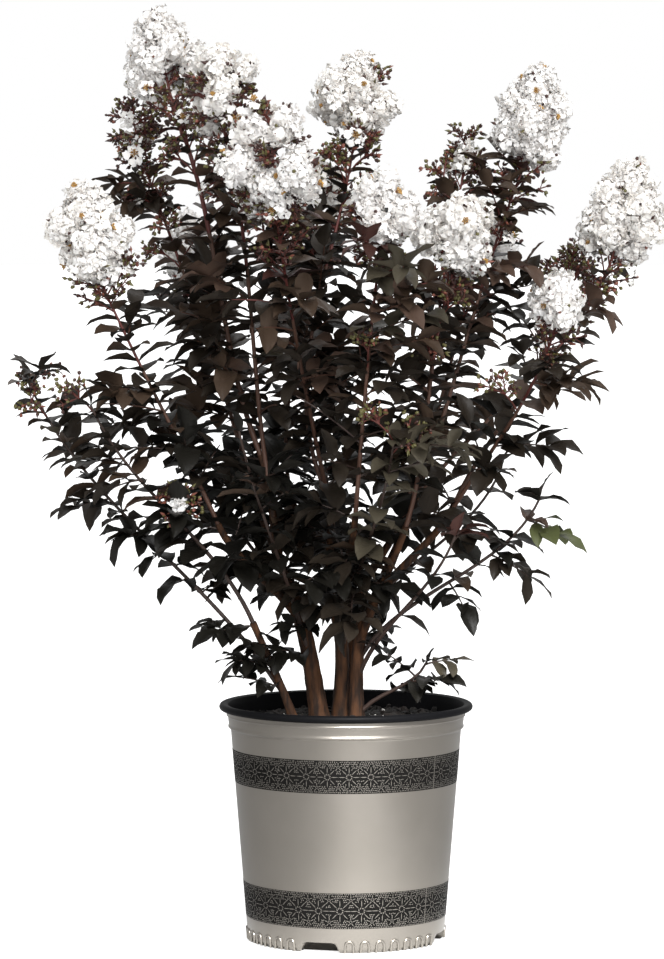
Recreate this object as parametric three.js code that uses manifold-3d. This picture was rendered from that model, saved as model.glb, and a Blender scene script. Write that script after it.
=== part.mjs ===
// A potted crape myrtle: a shrub of several stems from one root, with near-black leaves and white
// flower panicles, in a round nursery pot filled with potting mix.
// Millimetres, +Z up, +X right and +Y back. The origin is the middle of the pot's underside.
import * as THREE from "three";
import { mergeVertices } from "three/addons/utils/BufferGeometryUtils.js";
import Module from "manifold-3d";

const wasm = await Module();
wasm.setup();

// ---- Driving dimensions ----

// The pot: a thin moulded wall that widens to a collar and a flat rolled rim.
const POT_HEIGHT = 267;
const RIM_RADIUS = 142.5;
const RIM_DEPTH = 8; // the rolled lip's height
const COLLAR_RADIUS = 134; // just under the rim
const SHOULDER_HEIGHT = 241; // where the collar begins
const SHOULDER_RADIUS = 129.5;
const FOOT_RADIUS = 110.5;
const WALL = 2;
const POT_SIDES = 36;

// The drain pockets: gaps in the foot, each a recess moulded into the wall, with a hole in its roof.
const POCKETS = 4;
const POCKET_TURN = -106; // degrees from +X to the first pocket
const POCKET_WIDTH = 38;
const POCKET_HEIGHT = 12;
const POCKET_DEPTH = 22;
const DRAIN_SIZE = 8;

const CLEAR = 0.3; // between solids that touch on the real plant
const GROUND = 249; // the height of the potting mix round the stems
const GROUND_FALL = 3; // how far the mix falls from the stems to the wall

// Limbs: round and tapering. A limb rises along its parent's way and ends leaning out from the pot's middle.
const STEM_SIDES = 7;
const BOUGH_SIDES = 5;
const BOUGH_RADIUS = [5.2, 3.6];
const LIMB_STEP = 36; // the length of one ring's stretch
const LEAN = 0.45; // how far a limb's end leans out for each unit that it rises
const FLARE = 5; // how much wider a stem is at the ground
const FLARE_FALL = 16; // the height over which that widening fades

// Foliage: each leader carries pairs of leaves and, at every other pair, a twig with leaves of its own.
const GOLDEN_ANGLE = THREE.MathUtils.degToRad(137.5);
const PAIR_SPACING = 31;
const BARE = 0.14; // the share of a leader without leaves at its foot
const COLLAR_LENGTH = 4; // of the short stretch of a twig that its leaves grow from
const LEADER_RADIUS = [3.2, 2]; // at the foot and at the tip
const TWIG_RADIUS = [1.9, 1.3];
const TWIG_LENGTH = [76, 54]; // at the foot and at the tip of its leader
const TWIG_RISE = [0.3, 0.7]; // how far a twig follows its leader's way
const LEAF_LENGTH = [64, 86];
const TIP_SIZE = 0.78; // the size of the leaves at a leader's tip, of those at its foot
const FULL_LEADER = 190; // the length of a leader from which its leaves reach their full size
const LEAF_SHAPE = { width: 0.52, arch: 0.13, thickness: 0.05 }; // for each unit of length
const LEAF_RISE = 0.4; // how far a leaf follows its twig's way
const LEAF_DROOP = [0.15, 0.85]; // how far it turns down
const LEAF_ROLL = [-0.9, 0.9]; // how far it is turned about its own length
const LEAF_FACING = 0.5; // how squarely it stands on the face that it grows from
const SPACE_MARGIN = 24; // how far a shoot's space reaches into its neighbours'
const TOUCH = 1e-5; // the volume that two solids may share where they only touch

// Panicles: a bumpy ovoid that narrows to its top, on a stalk.
const PANICLE_DETAIL = 2;
const PANICLE_BUMPS = [0.78, 1.2];

// Every stem: where it leaves the ground, its fork, and its radius at both ends.
const STEMS = [
  { name: "stem_left", foot: [-27, -5], fork: [-66, -8, 404], radius: [10.5, 7.8] },
  { name: "stem_middle", foot: [-6, 9], fork: [-14, 14, 376], radius: [9, 7] },
  { name: "stem_right", foot: [11, -6], fork: [24, -10, 366], radius: [8, 6.6] },
  { name: "stem_outer_left", foot: [-54, -14], fork: [-104, -32, 360], radius: [4.4, 3.8] },
  { name: "stem_back", foot: [6, 36], fork: [8, 88, 384], radius: [8.5, 6.4] },
];

// Every bough: the limb that it leaves, the share of that limb's length where it does, its tip's bearing
// in degrees from +X, the tip's reach from the pot's middle and its height.
const BOUGHS = [
  { name: "bough_top_left", from: "stem_left", at: 1, bearing: 177, reach: 96, height: 545 },
  { name: "bough_left", from: "stem_left", at: 0.86, bearing: 150, reach: 132, height: 530 },
  { name: "bough_far_left", from: "stem_left", at: 0.7, bearing: 192, reach: 146, height: 470 },
  { name: "bough_middle", from: "stem_middle", at: 1, bearing: 150, reach: 28, height: 508 },
  { name: "bough_front", from: "stem_middle", at: 0.8, bearing: 276, reach: 96, height: 484 },
  { name: "bough_right", from: "stem_right", at: 0.86, bearing: 24, reach: 88, height: 498 },
  { name: "bough_far_right", from: "stem_right", at: 1, bearing: 350, reach: 124, height: 494 },
  { name: "bough_front_right", from: "stem_right", at: 0.7, bearing: 316, reach: 92, height: 470 },
  { name: "bough_back_left", from: "stem_back", at: 1, bearing: 117, reach: 156, height: 500 },
  { name: "bough_back_right", from: "stem_back", at: 0.84, bearing: 62, reach: 160, height: 486 },
];

// Every leafy shoot: where it starts, as for a bough, where its leader ends, and the width and height of
// the panicle that it carries, if it flowers. bare is the share of its foot that has no leaves.
const SHOOTS = [
  { name: "top_left", from: "bough_top_left", at: 1, bearing: 172, reach: 196, height: 938, bloom: [92, 112] },
  { name: "upper_left", from: "bough_top_left", at: 0.78, bearing: 208, reach: 150, height: 896, bloom: [94, 106] },
  { name: "back_left", from: "bough_left", at: 1, bearing: 149, reach: 276, height: 884, bloom: [48, 54] },
  { name: "far_left", from: "bough_far_left", at: 1, bearing: 193, reach: 276, height: 736, bloom: [94, 118] },
  { name: "front_left", from: "bough_middle", at: 0.9, bearing: 243, reach: 166, height: 806, bloom: [116, 136] },
  { name: "top_middle", from: "bough_middle", at: 1, bearing: 86, reach: 118, height: 890, bloom: [96, 112] },
  { name: "front_middle", from: "bough_front", at: 1, bearing: 281, reach: 192, height: 780, bloom: [82, 84] },
  { name: "front_right", from: "bough_front_right", at: 1, bearing: 317, reach: 160, height: 752, bloom: [92, 86] },
  { name: "top_right", from: "bough_right", at: 1, bearing: 25, reach: 222, height: 866, bloom: [102, 118] },
  { name: "inner_right", from: "bough_right", at: 0.6, bearing: 42, reach: 196, height: 872, bloom: [44, 50] },
  { name: "far_right", from: "bough_far_right", at: 1, bearing: 358, reach: 296, height: 762, bloom: [98, 116] },
  { name: "right_front", from: "bough_far_right", at: 0.86, bearing: 327, reach: 270, height: 690, bloom: [72, 58] },
  { name: "back_far_left", from: "bough_back_left", at: 1, bearing: 127, reach: 284, height: 726, bloom: [84, 92] },
  { name: "back_middle", from: "bough_back_left", at: 0.86, bearing: 98, reach: 246, height: 782, bloom: [88, 96] },
  { name: "back_right", from: "bough_back_right", at: 1, bearing: 60, reach: 296, height: 738, bloom: [86, 92] },
  { name: "back_far_right", from: "bough_back_right", at: 0.86, bearing: 27, reach: 276, height: 690, bloom: [78, 84] },
  { name: "low_far_left", from: "stem_outer_left", at: 0.3, bearing: 177, reach: 358, height: 628, bare: 0.44 },
  { name: "low_left", from: "stem_outer_left", at: 1, bearing: 201, reach: 300, height: 606 },
  { name: "low_back_left", from: "stem_left", at: 0.6, bearing: 140, reach: 256, height: 580 },
  { name: "low_front_left", from: "stem_left", at: 0.44, bearing: 232, reach: 190, height: 580 },
  { name: "low_front", from: "stem_middle", at: 0.6, bearing: 286, reach: 186, height: 570 },
  { name: "low_right", from: "stem_right", at: 0.58, bearing: 348, reach: 220, height: 500 },
  { name: "low_front_right", from: "stem_right", at: 0.42, bearing: 320, reach: 156, height: 462, bare: 0.25 },
  { name: "low_back", from: "stem_back", at: 0.55, bearing: 96, reach: 240, height: 540 },
  { name: "low_back_right", from: "stem_back", at: 0.66, bearing: 38, reach: 226, height: 520 },
  { name: "sprout", from: "stem_right", at: 0.12, bearing: 340, reach: 96, height: 316 },
];

// ---- Materials ----

const paint = (color, roughness, metalness = 0) =>
  new THREE.MeshStandardMaterial({ color, roughness, metalness });
const MATERIALS = {
  pot: paint(0x9d9486, 0.4, 0.3),
  soil: paint(0x2b211b, 0.95),
  bark: paint(0x6b442c, 0.85),
  leaf: paint(0x2a211f, 0.5),
  blossom: paint(0xf4f1f0, 0.8),
};

// ---- Helpers ----

// Numbers from 0 to 1 that are the same in each run.
function seeded(seed) {
  let state = seed >>> 0;
  return () => {
    state = (state + 0x6d2b79f5) >>> 0;
    let t = state;
    t = Math.imul(t ^ (t >>> 15), t | 1);
    t ^= t + Math.imul(t ^ (t >>> 7), t | 61);
    return ((t ^ (t >>> 14)) >>> 0) / 4294967296;
  };
}

const mix = ([from, to], share) => from + (to - from) * share;

// A point from its bearing, its reach from the pot's middle and its height.
function polar({ bearing, reach, height }) {
  const turn = THREE.MathUtils.degToRad(bearing);
  return new THREE.Vector3(reach * Math.cos(turn), reach * Math.sin(turn), height);
}

// A closed geometry as a solid.
function solidOf(geometry) {
  const loose = geometry.index ? geometry.toNonIndexed() : geometry.clone();
  loose.deleteAttribute("normal");
  loose.deleteAttribute("uv");
  const merged = mergeVertices(loose, 1e-4);
  const corners = merged.index.array;
  const kept = [];
  for (let i = 0; i < corners.length; i += 3) {
    const [a, b, c] = corners.slice(i, i + 3);
    if (a !== b && b !== c && a !== c) kept.push(a, b, c);
  }
  return new wasm.Manifold(
    new wasm.Mesh({
      numProp: 3,
      vertProperties: merged.attributes.position.array,
      triVerts: new Uint32Array(kept),
    }),
  );
}

// A solid as a named mesh. Scraps that a cut has left loose are dropped.
function meshOf(name, solid, material) {
  const largest = solid.decompose().sort((a, b) => b.volume() - a.volume())[0];
  const made = largest.getMesh();
  const geometry = new THREE.BufferGeometry();
  geometry.setAttribute("position", new THREE.BufferAttribute(made.vertProperties, 3));
  geometry.setIndex(new THREE.BufferAttribute(made.triVerts, 1));
  geometry.computeVertexNormals();
  const mesh = new THREE.Mesh(geometry, material);
  mesh.name = name;
  return mesh;
}

// True if a solid crosses none of the others.
function clearOf(solid, others) {
  const own = solid.boundingBox();
  return others.every((other) => {
    const box = other.boundingBox();
    const apart = [0, 1, 2].some((axis) => own.min[axis] > box.max[axis] || own.max[axis] < box.min[axis]);
    return apart || solid.intersect(other).volume() < TOUCH;
  });
}

// ---- The pot and its filling ----

// A profile of [radius, height] turned about the vertical axis.
function turned(profile) {
  const points = profile.map(([radius, height]) => new THREE.Vector2(radius, height));
  return new THREE.LatheGeometry(points, POT_SIDES).rotateX(Math.PI / 2);
}

// A box at each drain pocket: its middle's distance from the axis and height, and its size in the
// directions away from the axis, along the wall and up.
function atPockets([distance, height], [deep, wide, tall]) {
  const boxes = [];
  for (let i = 0; i < POCKETS; i += 1) {
    const box = new THREE.BoxGeometry(deep, wide, tall);
    box.translate(distance, 0, height);
    box.rotateZ(THREE.MathUtils.degToRad(POCKET_TURN + (360 / POCKETS) * i));
    boxes.push(solidOf(box));
  }
  return wasm.Manifold.union(boxes);
}

// The space of the pockets, grown by a margin.
const pockets = (margin) =>
  atPockets(
    [FOOT_RADIUS, 0],
    [2 * (POCKET_DEPTH + margin), POCKET_WIDTH + 2 * margin, 2 * (POCKET_HEIGHT + margin)],
  );

function makePot() {
  const lip = POT_HEIGHT - RIM_DEPTH;
  const outside = turned([
    [0, 0],
    [FOOT_RADIUS - 4, 0],
    [FOOT_RADIUS, 4],
    [SHOULDER_RADIUS, SHOULDER_HEIGHT - 2],
    [SHOULDER_RADIUS + 2, SHOULDER_HEIGHT],
    [COLLAR_RADIUS, lip - 2],
    [RIM_RADIUS - 1.5, lip],
    [RIM_RADIUS, lip + 2],
    [RIM_RADIUS, POT_HEIGHT - 3],
    [RIM_RADIUS - 2.5, POT_HEIGHT],
    [0, POT_HEIGHT],
  ]);
  const inside = turned([
    [0, WALL],
    [FOOT_RADIUS - WALL - 3, WALL],
    [SHOULDER_RADIUS - WALL, SHOULDER_HEIGHT],
    [COLLAR_RADIUS - WALL, POT_HEIGHT + 1],
    [0, POT_HEIGHT + 1],
  ]);
  const shell = solidOf(outside).subtract(pockets(0));
  const hollow = solidOf(inside).subtract(pockets(WALL));
  const drains = atPockets(
    [FOOT_RADIUS - POCKET_DEPTH / 2, POCKET_HEIGHT + WALL / 2],
    [DRAIN_SIZE, 2 * DRAIN_SIZE, 4 * WALL],
  );
  return meshOf("pot", shell.subtract(hollow).subtract(drains), MATERIALS.pot);
}

function makeSoil() {
  const edge = GROUND - GROUND_FALL;
  const share = (edge - SHOULDER_HEIGHT) / (POT_HEIGHT + 1 - SHOULDER_HEIGHT);
  const filling = turned([
    [0, WALL + CLEAR],
    [FOOT_RADIUS - WALL - 3.5, WALL + CLEAR],
    [SHOULDER_RADIUS - WALL - CLEAR, SHOULDER_HEIGHT],
    [mix([SHOULDER_RADIUS, COLLAR_RADIUS], share) - WALL - CLEAR, edge],
    [SHOULDER_RADIUS * 0.6, GROUND],
    [0, GROUND],
  ]);
  return meshOf("potting_mix", solidOf(filling).subtract(pockets(WALL + CLEAR)), MATERIALS.soil);
}

// ---- Limbs ----

// The curve of a limb: it sets off along the given way and ends leaning out from the pot's middle.
function limbCurve(start, way, end) {
  const span = start.distanceTo(end);
  const out = new THREE.Vector3(end.x - start.x, end.y - start.y, 0);
  const lean = out.lengthSq() > 1 ? out.normalize().multiplyScalar(LEAN) : out;
  const finish = lean.add(new THREE.Vector3(0, 0, 1)).normalize();
  return new THREE.CubicBezierCurve3(
    start,
    start.clone().addScaledVector(way, span * 0.34),
    end.clone().addScaledVector(finish, -span * 0.34),
    end,
  );
}

// A closed tapering tube along a curve. radiusAt takes the share of the length.
function tube(curve, radiusAt, sides, steps) {
  const geometry = new THREE.CylinderGeometry(1, 1, 1, sides, steps);
  const frames = curve.computeFrenetFrames(steps);
  const place = geometry.attributes.position;
  for (let i = 0; i < place.count; i += 1) {
    const ring = Math.round((place.getY(i) + 0.5) * steps);
    const radius = radiusAt(ring / steps);
    const at = curve.getPointAt(ring / steps);
    at.addScaledVector(frames.normals[ring], place.getX(i) * radius);
    at.addScaledVector(frames.binormals[ring], -place.getZ(i) * radius);
    place.setXYZ(i, at.x, at.y, at.z);
  }
  return geometry;
}

// A limb with its curve, its solid, and a slightly fatter one that its neighbours are cut by.
function limb(name, curve, radius, sides, flare = 0) {
  const length = curve.getLength();
  const steps = Math.max(3, Math.round(length / LIMB_STEP));
  const radiusAt = (share) => mix(radius, share) + flare * Math.exp((-share * length) / FLARE_FALL);
  const solid = solidOf(tube(curve, radiusAt, sides, steps));
  const grown = solidOf(tube(curve, (share) => radiusAt(share) + CLEAR, sides, steps));
  return { name, curve, solid, grown };
}

function makeStems() {
  return STEMS.map(({ name, foot, fork, radius }) => {
    const start = new THREE.Vector3(foot[0], foot[1], GROUND - FLARE_FALL);
    const end = new THREE.Vector3(...fork);
    const way = end.clone().sub(start).normalize().add(new THREE.Vector3(0, 0, 0.4)).normalize();
    return limb(name, limbCurve(start, way, end), radius, STEM_SIDES, FLARE);
  });
}

// The curve of a limb or leader from its parent. At 1 it goes on from just beyond the parent's tip.
function branchCurve(parent, row) {
  const end = polar(row);
  const along = parent.curve.getTangentAt(row.at);
  const start = parent.curve.getPointAt(row.at);
  if (row.at === 1) return limbCurve(start.addScaledVector(along, CLEAR), along, end);
  const toward = end.clone().sub(start).normalize();
  return limbCurve(start, along.add(toward.multiplyScalar(1.1)).normalize(), end);
}

// ---- Skins: closed surfaces of triangles, grown by drawing one face out at a time ----

class Skin {
  points = [];
  faces = [];

  point(at) {
    return this.points.push(at) - 1;
  }

  normal([a, b, c]) {
    const [p, q, r] = [this.points[a], this.points[b], this.points[c]];
    return q.clone().sub(p).cross(r.clone().sub(p)).normalize();
  }

  // Draws a face out through rings of three points, in the order of its corners. Returns the three sides
  // of each ring's stretch, each as two faces.
  draw(face, rings) {
    this.faces.splice(this.faces.indexOf(face), 1);
    this.end = face;
    return rings.map((ring) => {
      const [last, next] = [this.end, ring.map((at) => this.point(at))];
      const sides = [0, 1, 2].map((i) => {
        const j = (i + 1) % 3;
        return [[last[i], last[j], next[j]], [last[i], next[j], next[i]]];
      });
      this.faces.push(...sides.flat());
      this.end = next;
      return sides;
    });
  }

  // Closes a drawn face with itself, or with a point.
  close(tip) {
    const [a, b, c] = this.end;
    if (!tip) {
      const cap = [a, b, c];
      this.faces.push(cap);
      return cap;
    }
    const top = this.point(tip);
    this.faces.push([a, b, top], [b, c, top], [c, a, top]);
    return null;
  }

  solid() {
    return new wasm.Manifold(
      new wasm.Mesh({
        numProp: 3,
        vertProperties: new Float32Array(this.points.flatMap((at) => at.toArray())),
        triVerts: new Uint32Array(this.faces.flat()),
      }),
    );
  }

  // Starts a skin from a lone triangle, with a face on each side of it.
  static sheet(points) {
    const skin = new Skin();
    const [a, b, c] = points.map((at) => skin.point(at));
    skin.faces.push([a, b, c], [a, c, b]);
    return skin;
  }
}

// Three points round a place, facing along a way. The first is on the given side.
function ringAt(at, way, side, radius) {
  const out = side.clone().projectOnPlane(way).normalize().multiplyScalar(radius);
  return [0, 1, 2].map((i) => out.clone().applyAxisAngle(way, (i * 2 * Math.PI) / 3).add(at));
}

// The direction away from a line at a turn round it.
function outward(along, turn) {
  const across = new THREE.Vector3(0, 0, 1).cross(along);
  if (across.lengthSq() < 1e-4) across.set(1, 0, 0);
  return across.normalize().applyAxisAngle(along, turn);
}

// The ring and tip of a leaf that is drawn out of a face: it widens to its middle, where it arches up, and
// its tip hangs. The leaf lies along the edge of the face that comes nearest to its wanted roll.
function leafShape(corners, way, length, roll) {
  const base = corners.reduce((sum, at) => sum.add(at), new THREE.Vector3()).divideScalar(3);
  const wanted = outward(way, roll);
  const sides = [0, 1, 2].map((i) => corners[i].clone().sub(corners[(i + 2) % 3]).normalize());
  const fit = (i) => Math.abs(sides[i].dot(wanted));
  const first = [0, 1, 2].reduce((best, i) => (fit(i) > fit(best) ? i : best));
  const side = sides[first];
  const up = way.clone().cross(side).normalize();
  const width = (length * LEAF_SHAPE.width) / 2;
  const middle = base.clone().addScaledVector(way, length * 0.5);
  middle.addScaledVector(up, length * LEAF_SHAPE.arch * Math.sign(up.z));
  const ring = [
    middle.clone().addScaledVector(side, width),
    middle.clone().addScaledVector(up, length * LEAF_SHAPE.thickness),
    middle.clone().addScaledVector(side, -width),
  ];
  return { ring: [0, 1, 2].map((i) => ring[(i - first + 3) % 3]), tip: base.addScaledVector(way, length) };
}

// ---- Foliage ----

// The nodes of a leader or twig: places along it with the turn that their leaves take.
function nodesOf(length, spacing, turn) {
  const count = Math.max(1, Math.round(length / spacing));
  return Array.from({ length: count }, (_, k) => ({
    at: length * ((k + 0.75) / count) - (count === 1 ? length * 0.15 : 0),
    turn: turn + k * GOLDEN_ANGLE,
  }));
}

// A leaf's way out from its twig.
function leafWay(along, turn, droop) {
  const way = outward(along, turn).addScaledVector(along, LEAF_RISE);
  way.z = way.z * 0.6 - mix(LEAF_DROOP, droop);
  return way.normalize();
}

// True if a point is in a shoot's own space: no other leader is nearer to it by more than a margin.
function inSpace(point, shoot, shoots) {
  const distance = ({ line }) => Math.min(...line.map((at) => at.distanceTo(point)));
  const own = distance(shoot) - SPACE_MARGIN;
  return shoots.every((other) => other === shoot || own < distance(other));
}

// The middle of a skin's face.
const middleOf = (skin, face) =>
  face.reduce((sum, corner) => sum.add(skin.points[corner]), new THREE.Vector3()).divideScalar(3);

// Draws a line out of a face, with a short collar at each node. Returns the face at its end, and its nodes
// with the sides of their collars.
function drawLine(skin, face, { curve, length, radius, nodes }) {
  const stops = nodes.flatMap(({ at }) => [at - COLLAR_LENGTH / 2, at + COLLAR_LENGTH / 2]);
  const side = skin.points[face[0]].clone().sub(middleOf(skin, face));
  const rings = [...stops, length].map((at) => {
    const way = curve.getTangentAt(at / length);
    side.projectOnPlane(way);
    return ringAt(curve.getPointAt(at / length), way, side, mix(radius, at / length));
  });
  const sides = skin.draw(face, rings);
  const end = skin.close();
  return { end, collars: nodes.map((node, i) => ({ ...node, sides: sides[2 * i + 1] })) };
}

// Takes the side of a collar that looks most nearly along a way, and returns its first face.
function takeSide(skin, collar, way) {
  const facing = ([face]) => skin.normal(face).dot(way);
  const best = collar.sides.reduce((one, other) => (facing(other) > facing(one) ? other : one));
  collar.sides = collar.sides.filter((side) => side !== best);
  return best[0];
}

// What is drawn out of a face, as a solid of its own.
function aloneFrom(skin, face, draw) {
  const alone = Skin.sheet(face.map((corner) => skin.points[corner]));
  draw(alone, alone.faces[0]);
  return alone.solid();
}

// A shoot's leader: its skin, before it has any leaves, and its collars.
function makeLeader(shoot, number) {
  const { curve, length } = shoot;
  const bare = length * (shoot.bare ?? BARE);
  const nodes = nodesOf(length, PAIR_SPACING * shoot.full, number).filter(({ at }) => at > bare);
  const side = new THREE.Vector3(1, 0, 0);
  const skin = Skin.sheet(ringAt(curve.getPointAt(0), curve.getTangentAt(0), side, LEADER_RADIUS[0]));
  const line = drawLine(skin, skin.faces[0], { curve, length, radius: LEADER_RADIUS, nodes });
  return { skin, ...line };
}

// Grows the twigs and leaves of a shoot from its leader, leaving out what would cross another solid or
// leave the shoot's own space.
function makeFoliage(shoot, number, shoots, obstacles) {
  const random = seeded(1000 + number);
  const { skin, collars, end } = shoot.leader;
  const taken = [...obstacles, shoot.solid];
  const free = (tip, solid) => inSpace(tip, shoot, shoots) && clearOf(solid, taken);

  const addLeaf = (face, way, size) => {
    const length = mix(LEAF_LENGTH, random()) * size * shoot.full;
    const facing = skin.normal(face);
    if (facing.dot(way) < LEAF_FACING) way.addScaledVector(facing, LEAF_FACING).normalize();
    const corners = face.map((corner) => skin.points[corner]);
    const { ring, tip } = leafShape(corners, way, length, mix(LEAF_ROLL, random()));
    if (facing.dot(way) < LEAF_FACING / 2) return;
    const draw = (on, from) => {
      on.draw(from, [ring]);
      on.close(tip);
    };
    const solid = aloneFrom(skin, face, draw);
    if (!free(tip, solid)) return;
    taken.push(solid);
    draw(skin, face);
  };

  const addPair = (collar, along, size) => {
    for (const half of [0, Math.PI]) {
      const way = leafWay(along, collar.turn + half, random());
      addLeaf(takeSide(skin, collar, way), way, size);
    }
  };

  const addTwig = (collar, share, k) => {
    const chance = seeded(100 * number + k);
    const along = shoot.curve.getTangentAt(share);
    const out = outward(along, collar.turn + Math.PI / 2);
    const way = out.clone().addScaledVector(along, mix(TWIG_RISE, chance())).normalize();
    const length = mix(TWIG_LENGTH, share) * (0.8 + 0.4 * chance());
    const face = takeSide(skin, collar, out);
    const foot = middleOf(skin, face);
    const tip = foot.clone().addScaledVector(way, length);
    const curve = new THREE.LineCurve3(foot, tip);
    const line = { curve, length, radius: TWIG_RADIUS, nodes: nodesOf(length, PAIR_SPACING, collar.turn) };
    const solid = aloneFrom(skin, face, (on, from) => drawLine(on, from, line));
    if (!free(tip, solid)) return;
    taken.push(solid);
    const twig = drawLine(skin, face, line);
    const size = mix([1, TIP_SIZE], share);
    for (const node of twig.collars) addPair(node, way, size);
    way.z -= mix(LEAF_DROOP, random());
    addLeaf(twig.end, way.normalize(), size);
  };

  collars.forEach((collar, k) => {
    const share = collar.at / shoot.length;
    if (k % 2 === 0) addTwig(collar, share, k);
    addPair(collar, shoot.curve.getTangentAt(share), mix([1, TIP_SIZE], share));
  });
  if (!shoot.bloom) addLeaf(end, shoot.curve.getTangentAt(1), TIP_SIZE);
  return skin.solid().subtract(shoot.parent.grown);
}

// ---- Panicles ----

function makePanicle(shoot, number) {
  const random = seeded(9000 + number);
  const [width, height] = shoot.bloom;
  const along = shoot.curve.getTangentAt(1);
  const foot = shoot.curve.getPointAt(1).addScaledVector(along, CLEAR);
  const way = along.clone().lerp(new THREE.Vector3(0, 0, 1), 0.5).normalize();
  const turn = new THREE.Quaternion().setFromUnitVectors(new THREE.Vector3(0, 0, 1), way);
  const ball = mergeVertices(
    new THREE.IcosahedronGeometry(1, PANICLE_DETAIL).deleteAttribute("normal").deleteAttribute("uv"),
    1e-4,
  );
  const skin = new Skin();
  const place = ball.attributes.position;
  for (let i = 0; i < place.count; i += 1) {
    const at = new THREE.Vector3().fromBufferAttribute(place, i);
    const bump = mix(PANICLE_BUMPS, random());
    const share = (at.z + 1) / 2;
    at.set(
      at.x * (width / 2) * bump * (1.12 - 0.34 * share),
      at.y * (width / 2) * bump * (1.12 - 0.34 * share),
      8 + (height - 8) * (0.5 + 0.5 * at.z * Math.min(1, bump)),
    );
    skin.point(at.applyQuaternion(turn).add(foot));
  }
  const corners = ball.index.array;
  for (let i = 0; i < corners.length; i += 3) skin.faces.push([...corners.slice(i, i + 3)]);
  const level = (face) => middleOf(skin, face).dot(way);
  const lowest = skin.faces.reduce((best, face) => (level(face) < level(best) ? face : best));
  const side = skin.points[lowest[0]].clone().sub(middleOf(skin, lowest));
  skin.draw(lowest, [ringAt(foot, way.clone().negate(), side, LEADER_RADIUS[1])]);
  skin.close();
  return skin.solid();
}

// ---- Assembly ----

function build() {
  const plant = new THREE.Group();
  const pot = makePot();
  const soil = makeSoil();
  plant.add(pot, soil);

  const limbs = new Map();
  for (const stem of makeStems()) limbs.set(stem.name, stem);
  for (const row of BOUGHS) {
    const curve = branchCurve(limbs.get(row.from), row);
    limbs.set(row.name, limb(row.name, curve, BOUGH_RADIUS, BOUGH_SIDES));
  }

  // A limb is cut clear of those before it, and a stem is cut flat at the ground.
  const ground = new THREE.BoxGeometry(2 * RIM_RADIUS, 2 * RIM_RADIUS, GROUND);
  ground.translate(0, 0, GROUND / 2 + CLEAR);
  const before = [solidOf(ground)];
  for (const { name, solid, grown } of limbs.values()) {
    const cut = before.reduce((shape, other) => shape.subtract(other), solid);
    before.push(grown);
    plant.add(meshOf(name, cut, MATERIALS.bark));
  }

  const shoots = SHOOTS.map((row) => {
    const parent = limbs.get(row.from);
    const curve = branchCurve(parent, row);
    const length = curve.getLength();
    const full = Math.min(1, length / FULL_LEADER);
    return { ...row, parent, curve, length, full, line: curve.getSpacedPoints(14) };
  });
  const obstacles = [...before, solidOf(pot.geometry), solidOf(soil.geometry)];
  shoots.forEach((shoot, number) => {
    shoot.leader = makeLeader(shoot, number);
    shoot.solid = shoot.leader.skin.solid();
  });
  for (const [number, shoot] of shoots.entries()) {
    if (!shoot.bloom) continue;
    const panicle = makePanicle(shoot, number);
    obstacles.push(panicle);
    plant.add(meshOf(`panicle_${shoot.name}`, panicle, MATERIALS.blossom));
  }
  for (const [number, shoot] of shoots.entries()) {
    const leaders = shoots.slice(number + 1).map(({ solid }) => solid);
    const foliage = makeFoliage(shoot, number, shoots, [...obstacles, ...leaders]);
    obstacles.push(foliage);
    plant.add(meshOf(`foliage_${shoot.name}`, foliage, MATERIALS.leaf));
  }
  return plant;
}

export default build();
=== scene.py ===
"""The looks of a potted crape myrtle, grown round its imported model.

The plant's rule is written in millimetres, and the pieces are made in metres. +Z is up, +X right and +Y back,
and the origin is the middle of the pot's underside.
"""

import math

import bpy
import numpy as np
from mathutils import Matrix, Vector


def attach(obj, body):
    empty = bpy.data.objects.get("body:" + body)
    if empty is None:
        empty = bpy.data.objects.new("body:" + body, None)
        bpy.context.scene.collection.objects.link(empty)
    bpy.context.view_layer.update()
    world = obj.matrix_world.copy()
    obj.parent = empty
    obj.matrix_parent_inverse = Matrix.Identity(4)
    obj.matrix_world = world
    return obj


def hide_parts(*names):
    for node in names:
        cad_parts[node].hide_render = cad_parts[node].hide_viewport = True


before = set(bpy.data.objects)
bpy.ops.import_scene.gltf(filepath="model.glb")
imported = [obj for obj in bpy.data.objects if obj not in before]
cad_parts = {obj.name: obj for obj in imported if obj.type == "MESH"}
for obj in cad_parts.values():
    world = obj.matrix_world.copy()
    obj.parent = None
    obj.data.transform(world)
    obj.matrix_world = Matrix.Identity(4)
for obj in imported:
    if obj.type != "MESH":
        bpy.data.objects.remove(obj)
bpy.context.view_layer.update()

MM = 0.001
BAND_SEED, SOIL_SEED, BARK_SEED, LIMB_SEED = 19, 41, 7, 77
SHOOT_SEED, ASIDE_SEED, PANICLE_SEED = 100, 700, 9000  # each with its number added
UP = np.array([0.0, 0.0, 1.0])
LEVEL_WAY = np.array([1.0, 0.0, 0.0])  # for what has no bearing of its own

# ---- Sizes, in millimetres ----

# The pot.
POT_HEIGHT = 267
RIM_RADIUS = 142.5
RIM_DEPTH = 8
COLLAR_RADIUS = 134
SHOULDER_HEIGHT = 241
SHOULDER_RADIUS = 129.5
FOOT_RADIUS = 110.5
WALL = 2
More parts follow.
